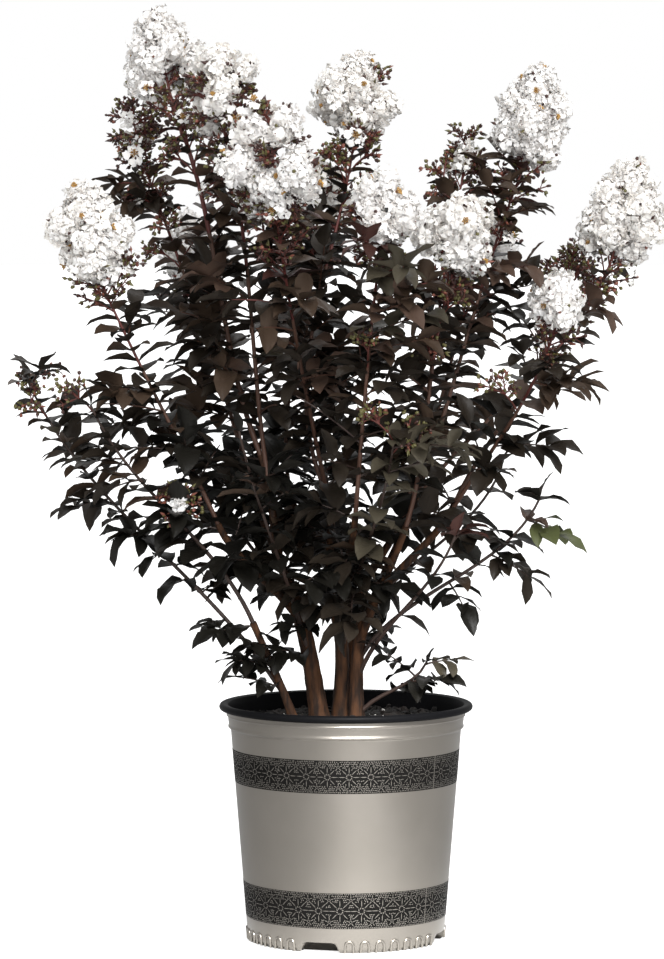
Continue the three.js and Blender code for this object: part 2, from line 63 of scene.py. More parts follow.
# The corners of the wall's outline: out from the shoulder or collar, and up from it or the rim's foot.
SHOULDER_STEPS = ((0, -3), (3.4, -0.5), (2.2, 2.5))
COLLAR_STEPS = ((-1.2, -7), (0.6, -5.5), (0, -4), (0.4, 1), (-WALL, 1))
POT_SIDES = 192
POCKETS = 4
POCKET_TURN = -106
POCKET_SIZE = (22, 38, 12)  # deep, wide and high
LOOPS = 7  # moulded round the foot between two pockets
LOOP_PITCH = 9.1  # degrees between two loops
LOOP_SIZE = (4.4, 13.5, 1.6)  # half width, height and half thickness
BANDS = ((198, 37), (48, 40))  # the middle height and the width of each printed band
SEAM_TURN = -39.5
PRINT = 0.2  # how far each layer of print stands on the one below
ROSETTE_PITCH = 24
GRAIN_PITCH = 2.1
# A rosette's rings of marks: the share of a step where each starts, how far out, lean, length and width.
ROSETTE_MARKS = ((0, 0.62, 0, 0.6, 0.75), (0.5, 0.24, 0.9, 0.2, 0.9))
GROUND = 249
GROUND_FALL = 3  # at the wall
GROUND_LEVEL = 0.6  # the share of the ground's radius that is level
GROUND_RADIUS = SHOULDER_RADIUS - WALL + 1.2
GROUND_WAVES = 60
BARK_TINTS = ((0.003, 0.0023, 0.0016), (0.006, 0.0042, 0.003), (0.012, 0.0075, 0.0055))
# What lies on the mix: how many, their lengths, how flat they are, their colours and the seed.
BITS = {
    "bark_chips": (1100, (7, 17), (0.16, 0.34), BARK_TINTS, 42),
    "perlite": (150, (2.2, 4.6), (0.7, 1.0), ((0.72, 0.70, 0.66),), 43),
}
BIT_SIDES = 6
BIT_PROFILE = ((-1, 0.05), (-0.9, 0.75), (0.1, 1), (0.85, 0.7), (1, 0.05))  # places along it and widths

# The limbs.
LEAN = 0.45
FLARE = 5
FLARE_FALL = 16
CLEAR = 0.3
BOUGH_RADIUS = (5.2, 3.6)
HANDLE = 0.34  # of a limb's span, for each end of its curve

# The foliage.
GOLDEN_ANGLE = math.radians(137.5)
PAIR_SPACING = 31
BARE = 0.14
LEADER_RADIUS = (2.8, 1.3)
STOUT_LEADERS = {"top_left": (3.2, 2.4), "upper_left": (2.8, 1.8)}
YOUNG_LEADER = 0.62  # the share of a leader past which it is young
TWIG_RADIUS = (1.3, 0.7)
TWIG_LENGTH = (76, 54)
TWIG_RISE = (0.3, 0.7)
TWIG_GROWTH = 14  # how much longer the finer twigs are
LOW_TWIGS = 590  # twigs that start below this height are dark
RED_TWIGS = 700  # and young ones above this are red
LEAF_SPACING = 13
LEAF_LENGTH = (43, 60)
LEAF_WIDTH = (0.45, 0.6)
TIP_SIZE = 0.7
FULL_LEADER = 190
LEAF_RISE = 0.5
LEAF_DROOP = (-0.08, 0.24)
LOW_DROOP = 0.22  # more droop for the lowest leaves
LEAF_ROLL = (-0.4, 0.4)
LEAF_BEND = (0.4, 1.15)  # the turn from foot to tip, in radians
LEAF_THICKNESS = 0.3
LEAF_RIPPLE = 0.17  # of the half width, at the edge
SPACE_MARGIN = 24
# The shares of the leaders that no leaf hangs before.
SHOWN = {
    "front_left": (0.1, 0.62), "front_middle": (0.05, 0.5), "upper_left": (0.05, 0.62), "top_left": (0.6, 1),
}
SHOWN_WIDTH = 9
# On open shoots: the share of the twigs that grow, how long these are, and the leader's bare share.
OPENNESS = {
    "low_far_left": (0.5, 0.5, 0.5), "low_left": (0.2, 0.4, 0.3), "low_back_left": (0.45, 0.6, 0.3),
    "low_front_left": (0.3, 0.6, 0.35), "far_left": (0.8, 0.85, BARE), "upper_left": (0.85, 0.85, BARE),
    "back_far_left": (0.6, 0.8, BARE), "back_right": (0.45, 0.65, BARE), "low_right": (0.25, 0.45, 0.25),
    "low_front_right": (0.2, 0.4, 0.75), "low_back_right": (0.3, 0.6, 0.35), "far_right": (0.36, 0.6, 0.28),
    "right_front": (0.16, 0.5, 0.25), "back_far_right": (0.16, 0.6, 0.25), "front_right": (0.5, 0.8, BARE),
    "top_right": (0.7, 0.7, 0.32), "inner_right": (0.4, 0.4, 0.3), "top_left": (0.9, 0.7, BARE),
    "back_left": (0.8, 0.5, BARE), "sprout": (0, 1, 1),
}
# The share of the leader past which no twig grows.
TWIGS_END = {"top_left": 0.86, "top_middle": 0.82, "far_left": 0.9}
BOUGH_TWIG_SPACING = 26
BOUGH_TWIG_LENGTH = (36, 62)
BOUGH_BARE = {"bough_front_right": 0.8, "bough_far_right": 0.7, "bough_right": 0.6, "bough_back_right": 0.5}
GREENEST = ("low_right", "low_front_right", "low_back_right")  # shoots with some green leaves
# The tints of the leaves, each with its roughness. The last and darkest is painted shade, for low and inner
# leaves.
LEAF_LOOKS = {
    "black": ((0.0195, 0.0148, 0.0105), 0.46),
    "brown": ((0.046, 0.030, 0.020), 0.45),
    "umber": ((0.069, 0.043, 0.031), 0.5),
    "olive": ((0.056, 0.048, 0.033), 0.45),
    "green": ((0.075, 0.085, 0.033), 0.45),
    "red": ((0.046, 0.019, 0.015), 0.45),
    "coal": ((0.0085, 0.0078, 0.006), 0.42),
}
TINTS = tuple(LEAF_LOOKS)
TWIG_COLORS = {"dark": (0.034, 0.019, 0.014), "brown": (0.080, 0.036, 0.022), "red": (0.105, 0.024, 0.020)}
# More twigs, by limb or leader: the share of its length, the bearing, rise and length, leaf size and tint.
# The low and inner sprigs take the darkest tint, painted shade.
SPRIGS = (
    ("stem_outer_left", (0.4, 195, 0.3, 46, 0.66, "coal"), (0.6, 215, 0.2, 46, 0.7, "coal")),
    ("stem_outer_left", (0.74, 250, 0.3, 44, 0.66, "coal")),
    ("stem_left", (0.5, 205, 0.2, 46, 0.75, "coal"), (0.66, 250, 0.25, 46, 0.72, "coal")),
    ("stem_left", (0.85, 120, 0.25, 50, 0.78, "coal")),
    ("stem_middle", (0.94, 240, 0.2, 56, 0.78, "coal")),
    ("stem_back", (0.6, 60, 0.25, 56, 0.78, "coal"), (0.8, 110, 0.25, 56, 0.78, "coal")),
    ("low_far_left", (0.14, 240, -0.3, 18, 0.7, "coal"), (0.24, 205, -0.1, 20, 0.62, "coal")),
    ("low_far_left", (0.33, 60, 0.3, 20, 0.62, "coal"), (0.38, 230, -0.3, 12, 0.8, "coal")),
    ("low_far_left", (0.42, 70, 0.2, 12, 0.7, "coal"), (0.47, 240, -0.4, 14, 0.8, "coal")),
    ("far_left", (0.3, 200, 0.1, 66, 0.9, "black"), (0.42, 165, 0.0, 70, 0.9, "black")),
    ("far_left", (0.55, 215, 0.1, 60, 0.9, "brown")),
    ("stem_outer_left", (0.97, 205, -0.1, 40, 0.8, "coal")),
    ("front_left", (0.4, 262, 0.2, 62, 0.95, "black"), (0.55, 235, 0.3, 56, 0.95, "brown")),
    ("front_left", (0.68, 285, 0.3, 56, 0.95, "brown")),
    ("front_middle", (0.3, 325, 0.2, 60, 0.95, "black"), (0.45, 300, 0.3, 60, 0.95, "black")),
    ("front_middle", (0.6, 345, 0.3, 56, 0.95, "brown"), (0.74, 310, 0.3, 50, 0.9, "umber")),
    ("upper_left", (0.74, 250, 0.3, 50, 0.85, "brown"), (0.86, 320, 0.3, 46, 0.8, "umber")),
    ("top_left", (0.74, 300, 0.3, 50, 0.85, "brown")),
    ("top_right", (0.84, 310, 0.3, 44, 0.8, "brown")),
    ("back_left", (0.8, 200, 0.3, 52, 0.85, "brown")),
    ("far_right", (0.5, 340, 0.0, 46, 0.85, "brown")),
    ("upper_left", (0.2, 290, 0.2, 62, 0.95, "black"), (0.45, 270, 0.3, 58, 0.95, "black")),
    ("top_middle", (0.15, 330, 0.2, 66, 0.95, "black")),
    ("front_right", (0.3, 230, 0.3, 60, 0.95, "brown")),
    ("front_middle", (0.15, 10, 0.3, 60, 0.95, "black")),
    ("right_front", (0.4, 0, 0.0, 60, 0.9, "black"), (0.75, 350, 0.0, 50, 0.9, "brown")),
    ("low_right", (0.5, 300, -0.8, 40, 0.75, "coal")),
    ("far_right", (0.12, 290, 0.1, 52, 0.9, "black")),
    ("low_right", (0.7, 335, -0.5, 50, 0.8, "black"), (0.9, 352, -0.45, 40, 0.75, "green")),
    ("sprout", (0.5, 30, 0.3, 34, 0.74, "coal"), (0.66, 330, 0.2, 44, 0.74, "coal")),
    ("sprout", (0.8, 180, 0.8, 40, 0.74, "coal"), (0.97, 350, 0.2, 24, 0.66, "olive")),
)

# The flowers.
FLOWER_RADIUS = (7.6, 11.8)
FLOWER_AREA = 180  # of a cluster's outside, for each flower
CLUSTER_SIZE = (0.12, 0.25)  # of a panicle's width
OPEN_SHARE = 0.05  # of the flowers that show their stamens
STAMENS = 16
SPRAY_FLOWERS = 0.14  # of the sprays of buds that end in a flower
SMALL_CLUSTERS = 0.7  # a panicle no fuller than this has smaller clusters
SPRAY_STALK, ASIDE_STALK, BUD_STALK, FILAMENT = (1.1, 0.7), (1.2, 0.8), (0.6, 0.5), (0.25, 0.2)  # radii
STALK_RISE = 0.05
FINE = (0, 3, 2)  # the rise, sides and rows of the finest stalks
BUDS, GREEN_BUDS = (0.62, 0.28, 0.10), (0.25, 0.5, 0.25)  # the shares of dark, olive and pink ones
BUD_AREA = 95  # of a cluster's radius squared, for each bud on it
BUD_COLORS = {"dark": (0.044, 0.015, 0.011), "olive": (0.098, 0.088, 0.026), "pink": (0.18, 0.058, 0.038)}
PETAL_COLORS = {"white": (0.97, 0.93, 0.895), "soft_white": (0.965, 0.918, 0.874)}
BUD_RADIUS = (1.5, 2.5)
# Off the leaders: the share of the leader's length, the bearing, and what grows there with sprays of buds.
SPRAYS, BLOOM, FLOWER, PUFF = range(4)
ASIDES = (
    ("low_left", (0.47, 285, PUFF), (0.45, 300), (0.97, 160)),
    ("low_front", (1, 200), (0.95, 350)),
    ("inner_right", (0.95, 200), (0.88, 120)),
    ("low_far_left", (0.96, 80), (0.9, 230)),
    ("back_left", (0.78, 200, BLOOM), (0.7, 260), (0.62, 170)),
    ("far_left", (0.96, 345, BLOOM)),
    ("upper_left", (1, 290, FLOWER)),
    ("back_left", (0.92, 255, FLOWER)),
    ("front_left", (0.97, 262, FLOWER)),
    ("top_middle", (0.95, 275, FLOWER), (0.92, 330), (0.88, 240)),
    ("far_right", (0.72, 230), (0.8, 300)),
    ("right_front", (0.6, 200)),
    ("front_middle", (0.55, 270)),
    ("front_right", (0.62, 250), (0.8, 300)),
    ("top_right", (0.72, 290, BLOOM), (0.66, 240)),
    ("inner_right", (0.8, 220, BLOOM), (0.7, 280)),
    ("top_left", (0.86, 250), (0.8, 200)),
    ("back_far_right", (0.7, 0, BLOOM)),
    ("back_right", (0.75, 40)),
    ("back_middle", (0.78, 110, BLOOM)),
    ("back_far_left", (0.75, 150)),
)
# Of thin panicles: the share of the clusters that flower, and from -1 to 1 how far these are the upper ones.
FULLNESS = {
    "front_left": (0.64, -0.2), "upper_left": (0.52, 0.2), "top_left": (0.9, 0.6), "top_middle": (0.85, 0.3),
    "top_right": (0.85, 0.6), "front_middle": (0.9, 0.5), "inner_right": (0.35, 0), "back_left": (0.35, 0),
    "back_middle": (0.6, 0.5), "back_right": (0.8, 0.5), "back_far_right": (0.35, -0.2),
}

# Soft light: each source's bearing and height in degrees, its strength and how wide it looks.
SUNS = (("key", -76, 36, 2.42, 26), ("low", -82, 5, 2.2, 46), ("back", 80, 55, 1.0, 40))
WALL_LIGHT = 0.58
# Patches of light on the floor that the pot mirrors: watts, place, aim and how wide each is in degrees.
FLOOR_SPOTS = ((270, (0.12, -0.95, 0.8), (0.07, -0.1, 0), 31), (195, (0.2, -1.0, 1.4), (0.2, -0.93, 0), 48))

# The camera, in metres and degrees. Its lens is in pixels of a picture of that height.
CAMERA_PLACE = (-0.0157, -5.0, 0.820)
CAMERA_FALL = 3.457
CAMERA_LENS, PICTURE_HEIGHT = 4468, 959
SENSOR = 36
FLOOR_SIZE = 60

STEMS = {
    "stem_left": ((-27, -5), (-66, -8, 404), (10.5, 7.8)),
    "stem_middle": ((-6, 9), (-14, 14, 376), (9, 7)),
    "stem_right": ((11, -6), (24, -10, 366), (8, 6.6)),
    "stem_outer_left": ((-54, -14), (-104, -32, 360), (4.4, 3.8)),
    "stem_back": ((6, 36), (8, 88, 384), (8.5, 6.4)),
}
# The limb that each bough leaves, at a share of its length, then its tip's bearing, reach and height.
BOUGHS = {
    "bough_top_left": ("stem_left", 1, 177, 96, 545),
    "bough_left": ("stem_left", 0.86, 150, 132, 530),
    "bough_far_left": ("stem_left", 0.7, 192, 146, 470),
    "bough_middle": ("stem_middle", 1, 150, 28, 508),
    "bough_front": ("stem_middle", 0.8, 276, 96, 484),
    "bough_right": ("stem_right", 0.86, 24, 88, 498),
    "bough_far_right": ("stem_right", 1, 350, 124, 494),
    "bough_front_right": ("stem_right", 0.7, 316, 92, 470),
    "bough_back_left": ("stem_back", 1, 117, 156, 500),
    "bough_back_right": ("stem_back", 0.84, 62, 160, 486),
}
# The same for each shoot's leader, then its panicle's width and height.
SHOOTS = {
    "top_left": ("bough_top_left", 1, 172, 196, 934, (92, 112)),
    "upper_left": ("bough_top_left", 0.78, 208, 150, 896, (94, 106)),
    "back_left": ("bough_left", 1, 149, 276, 884, (48, 54)),
    "far_left": ("bough_far_left", 1, 193, 276, 736, (94, 118)),
    "front_left": ("bough_middle", 0.9, 243, 166, 806, (116, 136)),
    "top_middle": ("bough_middle", 1, 86, 118, 890, (96, 112)),
    "front_middle": ("bough_front", 1, 281, 192, 780, (82, 84)),
    "front_right": ("bough_front_right", 1, 317, 160, 752, (92, 86)),
    "top_right": ("bough_right", 1, 25, 222, 866, (102, 118)),
    "inner_right": ("bough_right", 0.6, 46, 192, 852, (44, 50)),
    "far_right": ("bough_far_right", 1, 358, 296, 762, (98, 116)),
    "right_front": ("bough_far_right", 0.86, 327, 270, 690, (72, 58)),
    "back_far_left": ("bough_back_left", 1, 127, 284, 726, (84, 92)),
    "back_middle": ("bough_back_left", 0.86, 98, 246, 782, (88, 96)),
    "back_right": ("bough_back_right", 1, 60, 296, 738, (86, 92)),
    "back_far_right": ("bough_back_right", 0.86, 27, 276, 690, (78, 84)),
    "low_far_left": ("stem_outer_left", 0.3, 177, 358, 628),
    "low_left": ("stem_outer_left", 1, 201, 300, 606),
    "low_back_left": ("stem_left", 0.6, 140, 256, 580),
    "low_front_left": ("stem_left", 0.44, 232, 190, 580),
    "low_front": ("stem_middle", 0.6, 286, 186, 570),
    "low_right": ("stem_right", 0.58, 348, 220, 500),
    "low_front_right": ("stem_right", 0.42, 320, 156, 462),
    "low_back": ("stem_back", 0.55, 96, 240, 540),
    "low_back_right": ("stem_back", 0.66, 38, 226, 520),
    "sprout": ("stem_right", 0.12, 340, 96, 316),
}
BARE_FEET = {"low_far_left": 0.44, "low_front_right": 0.25}  # where they aren't BARE

# ---- Vectors and curves ----


def unit(v):
    return v / np.linalg.norm(v, axis=-1, keepdims=True)


def stray(way, amount, rng, *shape):
    """Ways that depart from the given ones by chance."""
    return unit(way + rng.normal(0, amount, (*shape, 3)))


def mix(ends, share):
    return ends[0] + (ends[1] - ends[0]) * share


def turned(v, axis, angle):
    """v turned about a unit axis. Works on single vectors and on arrays of them."""
    angle = np.asarray(angle, float)[..., None]
    along = np.sum(v * axis, axis=-1, keepdims=True)
    return v * np.cos(angle) + np.cross(axis, v) * np.sin(angle) + axis * along * (1 - np.cos(angle))


def outward(along, turn):
    """The direction away from a line at a turn round it."""
    across = np.cross(UP, along)
    if across @ across < 1e-4:
        across = LEVEL_WAY
    return turned(unit(across), along, turn)


def upright(way):
    """The direction across each way that points most nearly up."""
    flat = np.abs(way @ UP) > 0.999
    up = np.where(flat[..., None], LEVEL_WAY, UP)
    return unit(up - way * np.sum(up * way, axis=-1, keepdims=True))


def around(sides):
    """Equal turns round a circle."""
    return np.arange(sides) * math.tau / sides


def circle(one, other, sides):
    """The directions round each line, from one direction across it towards another."""
    turn = around(sides)[:, None]
    return one[:, None] * np.cos(turn) + other[:, None] * np.sin(turn)


def polar(turn, reach, height):
    """Points from turns in radians, distances from the vertical axis, and heights."""
    return np.stack(np.broadcast_arrays(reach * np.cos(turn), reach * np.sin(turn), height), -1)


def seeded(seed):
    """Numbers from 0 to 1 that are the same as those of the model's source."""
    state = seed

    def draw():
        nonlocal state
        mask = 0xFFFFFFFF
        state = (state + 0x6D2B79F5) & mask
        t = ((state ^ (state >> 15)) * (state | 1)) & mask
        t ^= (t + (((t ^ (t >> 7)) * (t | 61)) & mask)) & mask
        return ((t ^ (t >> 14)) & mask) / 4294967296

    return draw


class Curve:
    """A cubic Bezier curve that is read by the share of its length."""

    def __init__(self, *handles):
        a, b, c, d = (np.asarray(h, float) for h in handles)
        t = np.linspace(0, 1, 201)[:, None]
        self.line = a * (1 - t) ** 3 + 3 * b * t * (1 - t) ** 2 + 3 * c * t * t * (1 - t) + d * t**3
        self.sums = np.concatenate([[0], np.cumsum(np.linalg.norm(np.diff(self.line, axis=0), axis=1))])
        self.length = self.sums[-1]

    def at(self, share):
        places = [np.interp(np.asarray(share) * self.length, self.sums, self.line[:, i]) for i in range(3)]
        return np.stack(places, -1)

    def way(self, share):
        share = np.clip(share, 0.003, 0.997)
        return unit(self.at(share + 0.003) - self.at(share - 0.003))


def limb_curve(start, way, end):
    """It sets off along the given way and ends leaning out from the pot's middle."""
    reach = np.linalg.norm(end - start) * HANDLE
    out = np.array([end[0] - start[0], end[1] - start[1], 0.0])
    if out @ out > 1:
        out = unit(out) * LEAN
    return Curve(start, start + way * reach, end - unit(out + UP) * reach, end)


def branch_curve(parent, at, bearing, reach, height):
    end, along, start = polar(math.radians(bearing), reach, height), parent.way(at), parent.at(at)
    if at == 1:
        return limb_curve(start + along * CLEAR, along, end)
    return limb_curve(start, unit(along + unit(end - start) * 1.1), end)


# ---- Pieces: meshes joined from grids of points ----


class Piece:
    """Grids of points, rows along a form and columns across it or round it, joined as one mesh."""

    def __init__(self):
        self.points, self.faces, self.caps, self.count = [], [], [], 0

    def add(self, grids, closed=True, capped=False):
        grids = np.asarray(grids, float)
        if grids.ndim == 3:
            grids = grids[None]
        number, rows, columns = grids.shape[:3]
        index = np.arange(rows * columns).reshape(rows, columns)
        if closed:
            index = np.hstack([index, index[:, :1]])
        quads = np.stack([index[:-1, :-1], index[:-1, 1:], index[1:, 1:], index[1:, :-1]], -1).reshape(-1, 4)
        starts = self.count + np.arange(number) * rows * columns
        self.faces.append((quads + starts[:, None, None]).reshape(-1, 4))
        self.points.append(grids.reshape(-1, 3))
        self.count += number * rows * columns
        if capped:
            ends = index[0, :columns][::-1], index[-1, :columns]
            self.caps += [(start + end).tolist() for start in starts for end in ends]

    def show(self, name, material, slot=None, replaces=(), smooth=True):
        """Shows the joined mesh as a piece that rides on the part."""
        mesh, faces = bpy.data.meshes.new(name), np.concatenate(self.faces)
        if self.caps:
            faces = [*faces.tolist(), *self.caps]
        mesh.from_pydata(np.concatenate(self.points) * MM, [], faces)
        mesh.polygons.foreach_set("use_smooth", np.full(len(mesh.polygons), smooth))
        mesh.materials.append(material)
        mesh.update()
        thing = put(name, mesh)
        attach(thing, "root")
        if replaces:
            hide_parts(*replaces)
        return thing


def put(name, data):
    """A new thing in the scene."""
    thing = bpy.data.objects.new(name, data)
    bpy.context.scene.collection.objects.link(thing)
    return thing


def rings(line, radii, sides):
    """Rings of points round a line, square to it and without twist."""
    way = unit(np.gradient(line, axis=0))
    side = np.empty_like(way)
    side[0] = unit(np.cross(way[0], [0.3, 1.0, 0.1]))
    for i in range(1, len(way)):
        side[i] = unit(side[i - 1] - way[i] * (side[i - 1] @ way[i]))
    return line[:, None] + circle(side, np.cross(way, side), sides) * np.reshape(radii, (len(line), -1, 1))


def stalks(starts, ends, radii, rise=0.0, sides=4, rows=3):
    """Thin stalks from starts to ends, which bow up by a share of their length."""
    starts = np.asarray(starts, float)
    span = ends - starts
    way = unit(span)
    up = upright(way)
    bow = up * np.linalg.norm(span, axis=1, keepdims=True) * rise
    share = np.linspace(0, 1, rows)[None, :, None]
    line = starts[:, None] + span[:, None] * share + bow[:, None] * (4 * share * (1 - share))
    thick = np.linspace(*radii, rows)[None, :, None, None]
    return line[:, :, None] + circle(np.cross(up, way), up, sides)[:, None] * -thick


def balls(middles, ways, radii, profile, sides):
    """Round forms along their ways: profile gives each ring's place and radius, for each unit of radius."""
    middles, ways, radii = (np.asarray(values, float)[:, None] for values in (middles, ways, radii))
    radii = radii[..., None]
    up = upright(ways[:, 0])
    ring = circle(np.cross(up, ways[:, 0]), -up, sides)
    return np.stack([middles + ways * radii * at + ring * radii * wide for at, wide in profile], 1)


# ---- Materials ----


EDGE = (0.35, 0.65)  # of the noise, where one colour ends and the other begins


def set_all(node, values):
    """Sets sockets of a node to constants."""
    for key, value in values.items():
        node.inputs[key.replace("_", " ")].default_value = value
    return node


def material(name, color, roughness, other=None, scale=60, stretch=(1, 1, 1), edge=EDGE, bump=(), **sockets):
    """A surface whose colour varies by noise. Its bump is a strength, a scale and a depth in millimetres."""
    made = bpy.data.materials.new(name)
    made.use_nodes = True
    nodes, links = made.node_tree.nodes, made.node_tree.links
    shader = set_all(nodes["Principled BSDF"], {"Base Color": (*color, 1), "Roughness": roughness, **sockets})
    mapping = set_all(nodes.new("ShaderNodeMapping"), {"Scale": stretch})
    links.new(nodes.new("ShaderNodeTexCoord").outputs["Object"], mapping.inputs["Vector"])

    def add_noise(scale, detail, socket):
        noise = set_all(nodes.new("ShaderNodeTexNoise"), {"Scale": scale, "Detail": detail})
        links.new(mapping.outputs["Vector"], noise.inputs["Vector"])
        links.new(noise.outputs["Fac"], socket)

    if other:
        ramp = nodes.new("ShaderNodeValToRGB")
        for stop, at, tint in zip(ramp.color_ramp.elements, edge, (color, other)):
            stop.position, stop.color = at, (*tint, 1)
        add_noise(scale, 5, ramp.inputs["Fac"])
        links.new(ramp.outputs["Color"], shader.inputs["Base Color"])
    if bump:
        strength, grain, depth = (*bump, 0.3)[:3]
        raised = set_all(nodes.new("ShaderNodeBump"), {"Strength": strength, "Distance": depth * MM})
        add_noise(grain, 4, raised.inputs["Height"])
        links.new(raised.outputs["Normal"], shader.inputs["Normal"])
    return made


# ---- The pot ----


def wall_radius(height):
    """The radius of the pot's outside below its shoulder."""
    return mix((FOOT_RADIUS, SHOULDER_RADIUS), (np.asarray(height, float) - 4) / (SHOULDER_HEIGHT - 6))


def lathe(profile):
    """A profile of [radius, height] turned about the vertical axis."""
    radius, height = np.array(profile, float).T[..., None]
    return polar(around(POT_SIDES), radius, height)


def on_wall(turn, height, proud):
    """Points on the pot's outside, from turns in radians and heights."""
    return polar(turn, wall_radius(height) + proud, height)


def rounded(points, radius):
    """A line of [radius, height] points with its corners rounded."""
    points = np.array(points, float)
    made = [points[0]]
    for before, at, after in zip(points, points[1:], points[2:]):
        to, back = after - at, before - at
        cut = min(radius, np.linalg.norm(to) * 0.45, np.linalg.norm(back) * 0.45)
        first, last = at + unit(back) * cut, at + unit(to) * cut
        t = np.linspace(0, 1, 4)[:, None]
        made.extend(first * (1 - t) ** 2 + 2 * at * t * (1 - t) + last * t * t)
    return [*made, points[-1]]


def make_pot():
    """The wall with its pockets, the rim, and the loops round the foot."""
    paint = material(
        "pot_paint", (0.212, 0.196, 0.174), 0.33, (0.195, 0.18, 0.158), 14, bump=(0.15, 900), Metallic=0.85
    )
    black = material("black_plastic", (0.004, 0.004, 0.0045), 0.45, bump=(0.2, 700), Specular_IOR_Level=0.03)
    lip, inside, throat = POT_HEIGHT - RIM_DEPTH, COLLAR_RADIUS - WALL, SHOULDER_RADIUS - WALL
    foot = [(1, 0), (FOOT_RADIUS - 4, 0), (FOOT_RADIUS, 4), *((float(wall_radius(z)), z) for z in (14, 17))]
    shoulder = [(SHOULDER_RADIUS + out, SHOULDER_HEIGHT + up) for out, up in SHOULDER_STEPS]
    collar = [(COLLAR_RADIUS + out, lip + up) for out, up in COLLAR_STEPS]
    top = [(throat + 0.4, SHOULDER_HEIGHT - 6), (1, SHOULDER_HEIGHT - 6)]
    wall, cutter = Piece(), Piece()
    wall.add(lathe(rounded([*foot, *shoulder, *collar, *top], 1.6)), capped=True)
    wall = wall.show("pot_wall", paint, "pot", ("pot",))

    deep, wide, high = POCKET_SIZE
    arch = rounded([(-wide / 2 - 5, -3), (-wide / 2, high), (wide / 2, high), (wide / 2 + 5, -3)], 6)
    across, height = np.array(arch).T
    x = np.array([FOOT_RADIUS - deep, FOOT_RADIUS + 9])[:, None] + 0 * across
    box = np.stack([x, across + 0 * x, height + 0 * x], -1)[:, ::-1]
    pockets = [math.radians(POCKET_TURN + 90 * i) for i in range(POCKETS)]
    cutter.add([turned(box, UP, turn) for turn in pockets], capped=True)
    cutter = cutter.show("pockets", paint)
    cut = wall.modifiers.new("pockets", "BOOLEAN")
    cut.object, cut.operation, cut.solver = cutter, "DIFFERENCE", "EXACT"
    apply_all(wall)
    bpy.data.objects.remove(cutter)

    rim, bead = Piece(), RIM_DEPTH / 2
    turn = np.linspace(-0.62 * math.pi, 0.62 * math.pi, 14)
    curl = [(RIM_RADIUS - bead + bead * math.cos(a), POT_HEIGHT - bead + bead * math.sin(a)) for a in turn]
    inner = [(inside + 1, POT_HEIGHT - 1.2), (inside - 0.6, lip), (throat, SHOULDER_HEIGHT - 4)]
    rim.add(lathe([(COLLAR_RADIUS + 0.2, lip - 1), *curl, *rounded([curl[-1], *inner], 1)[1:]]))
    rim.show("pot_rim", black)

    loops = Piece()
    half, top, thick = LOOP_SIZE
    arc = np.linspace(0, math.pi, 9)
    across = np.array([1.1, *np.cos(arc), -1.1]) * half
    height = np.array([1, *(top - half + half * np.sin(arc)), 1])
    for pocket in pockets:
        for k in range(LOOPS):
            turn = pocket + math.radians(45 + LOOP_PITCH * (k - LOOPS // 2))
            line = on_wall(turn + across / FOOT_RADIUS, height, 0.1)
            loops.add(rings(line, np.full(len(line), thick), 8))
    loops.show("pot_foot_loops", paint, "pot")


def apply_all(thing):
    """Turns what a thing's modifiers make into its own mesh."""
    graph = bpy.context.evaluated_depsgraph_get()
    mesh = bpy.data.meshes.new_from_object(thing.evaluated_get(graph))
    thing.modifiers.clear()
    thing.data = mesh


def make_bands():
    """Two printed bands: dark rosettes and small dark flowers, in a ground of fine light grains."""
    ink = material("band_ink", (0.004, 0.0037, 0.0034), 0.6, bump=(0.1, 800), Specular_IOR_Level=0.04)
    metal = material("band_print", (0.185, 0.172, 0.154), 0.34, bump=(0.1, 800), Metallic=0.85)
    seam = math.radians(SEAM_TURN)
    gap = 0.5 / SHOULDER_RADIUS
    turns = np.linspace(seam + gap, seam + math.tau - gap, 193)
    ground, marks = Piece(), Piece()
    rng = np.random.default_rng(BAND_SEED)
    for middle, width in BANDS:
        radius = float(wall_radius(middle))
        girth = math.tau * radius
        ground.add(on_wall(turns[None], (middle + np.linspace(-0.5, 0.5, 3) * width)[:, None], PRINT), False)
        count = round(girth / ROSETTE_PITCH)
        pitch = girth / count
        flowers = [(pitch * (c + 0.5), 0, width * 0.34, 8) for c in range(count)]
        for c in range(1, count):
            flowers += [(pitch * c, side * width * 0.31, width * 0.15, 5) for side in (-1, 1)]

        def mark(x, y, way, long, wide):
            """A grain of print, pointed at both ends."""
            along = np.array([[-1, -0.3, 0.5, 1]]) * long / 2
            across = np.array([[-1], [1]]) * np.array([0.1, 1, 0.8, 0.1]) * wide / 2
            placed = seam + (x + along * math.sin(way) + across * math.cos(way)) / radius
            height = middle + y + along * math.cos(way) - across * math.sin(way)
            marks.add(on_wall(placed, height, 2 * PRINT), False)

        for x, y, size, petals in flowers:
            for step, out, lean, long, wide in ROSETTE_MARKS:
                for k in range(petals):
                    way, reach = math.tau * (k + step) / petals, size * out
                    mark(x + reach * math.sin(way), y + reach * math.cos(way), way + lean, size * long, wide)
        fine = GRAIN_PITCH
        for row in range(int(width / fine)):
            y = (row + 0.5) * fine - width / 2 + (width % fine) / 2
            for k in range(int(girth / fine)):
                x = (k + 0.5 + 0.5 * (row % 2)) * fine
                near = min(flowers, key=lambda f: math.hypot(x - f[0], y - f[1]) - f[2])
                reach, turn = math.hypot(x - near[0], y - near[1]), math.atan2(x - near[0], y - near[1])
                edge = near[2] * (0.5 + 0.5 * abs(math.cos(near[3] * turn / 2)) ** 0.7)
                if reach > edge + 0.3:
                    at = np.array([x, y]) + rng.uniform(-0.3, 0.3, 2)
                    mark(*at, turn + rng.uniform(-1, 1), fine * rng.uniform(0.7, 1.15), fine * 0.42)
    ground.show("band_ground", ink)
    marks.show("band_pattern", metal, "pot")


# ---- The potting mix ----


def ground_fall(reach):
    """How far below its level part the ground is at a distance from the pot's middle."""
    return GROUND_FALL * np.clip((reach / GROUND_RADIUS - GROUND_LEVEL) / (1 - GROUND_LEVEL), 0, 1)


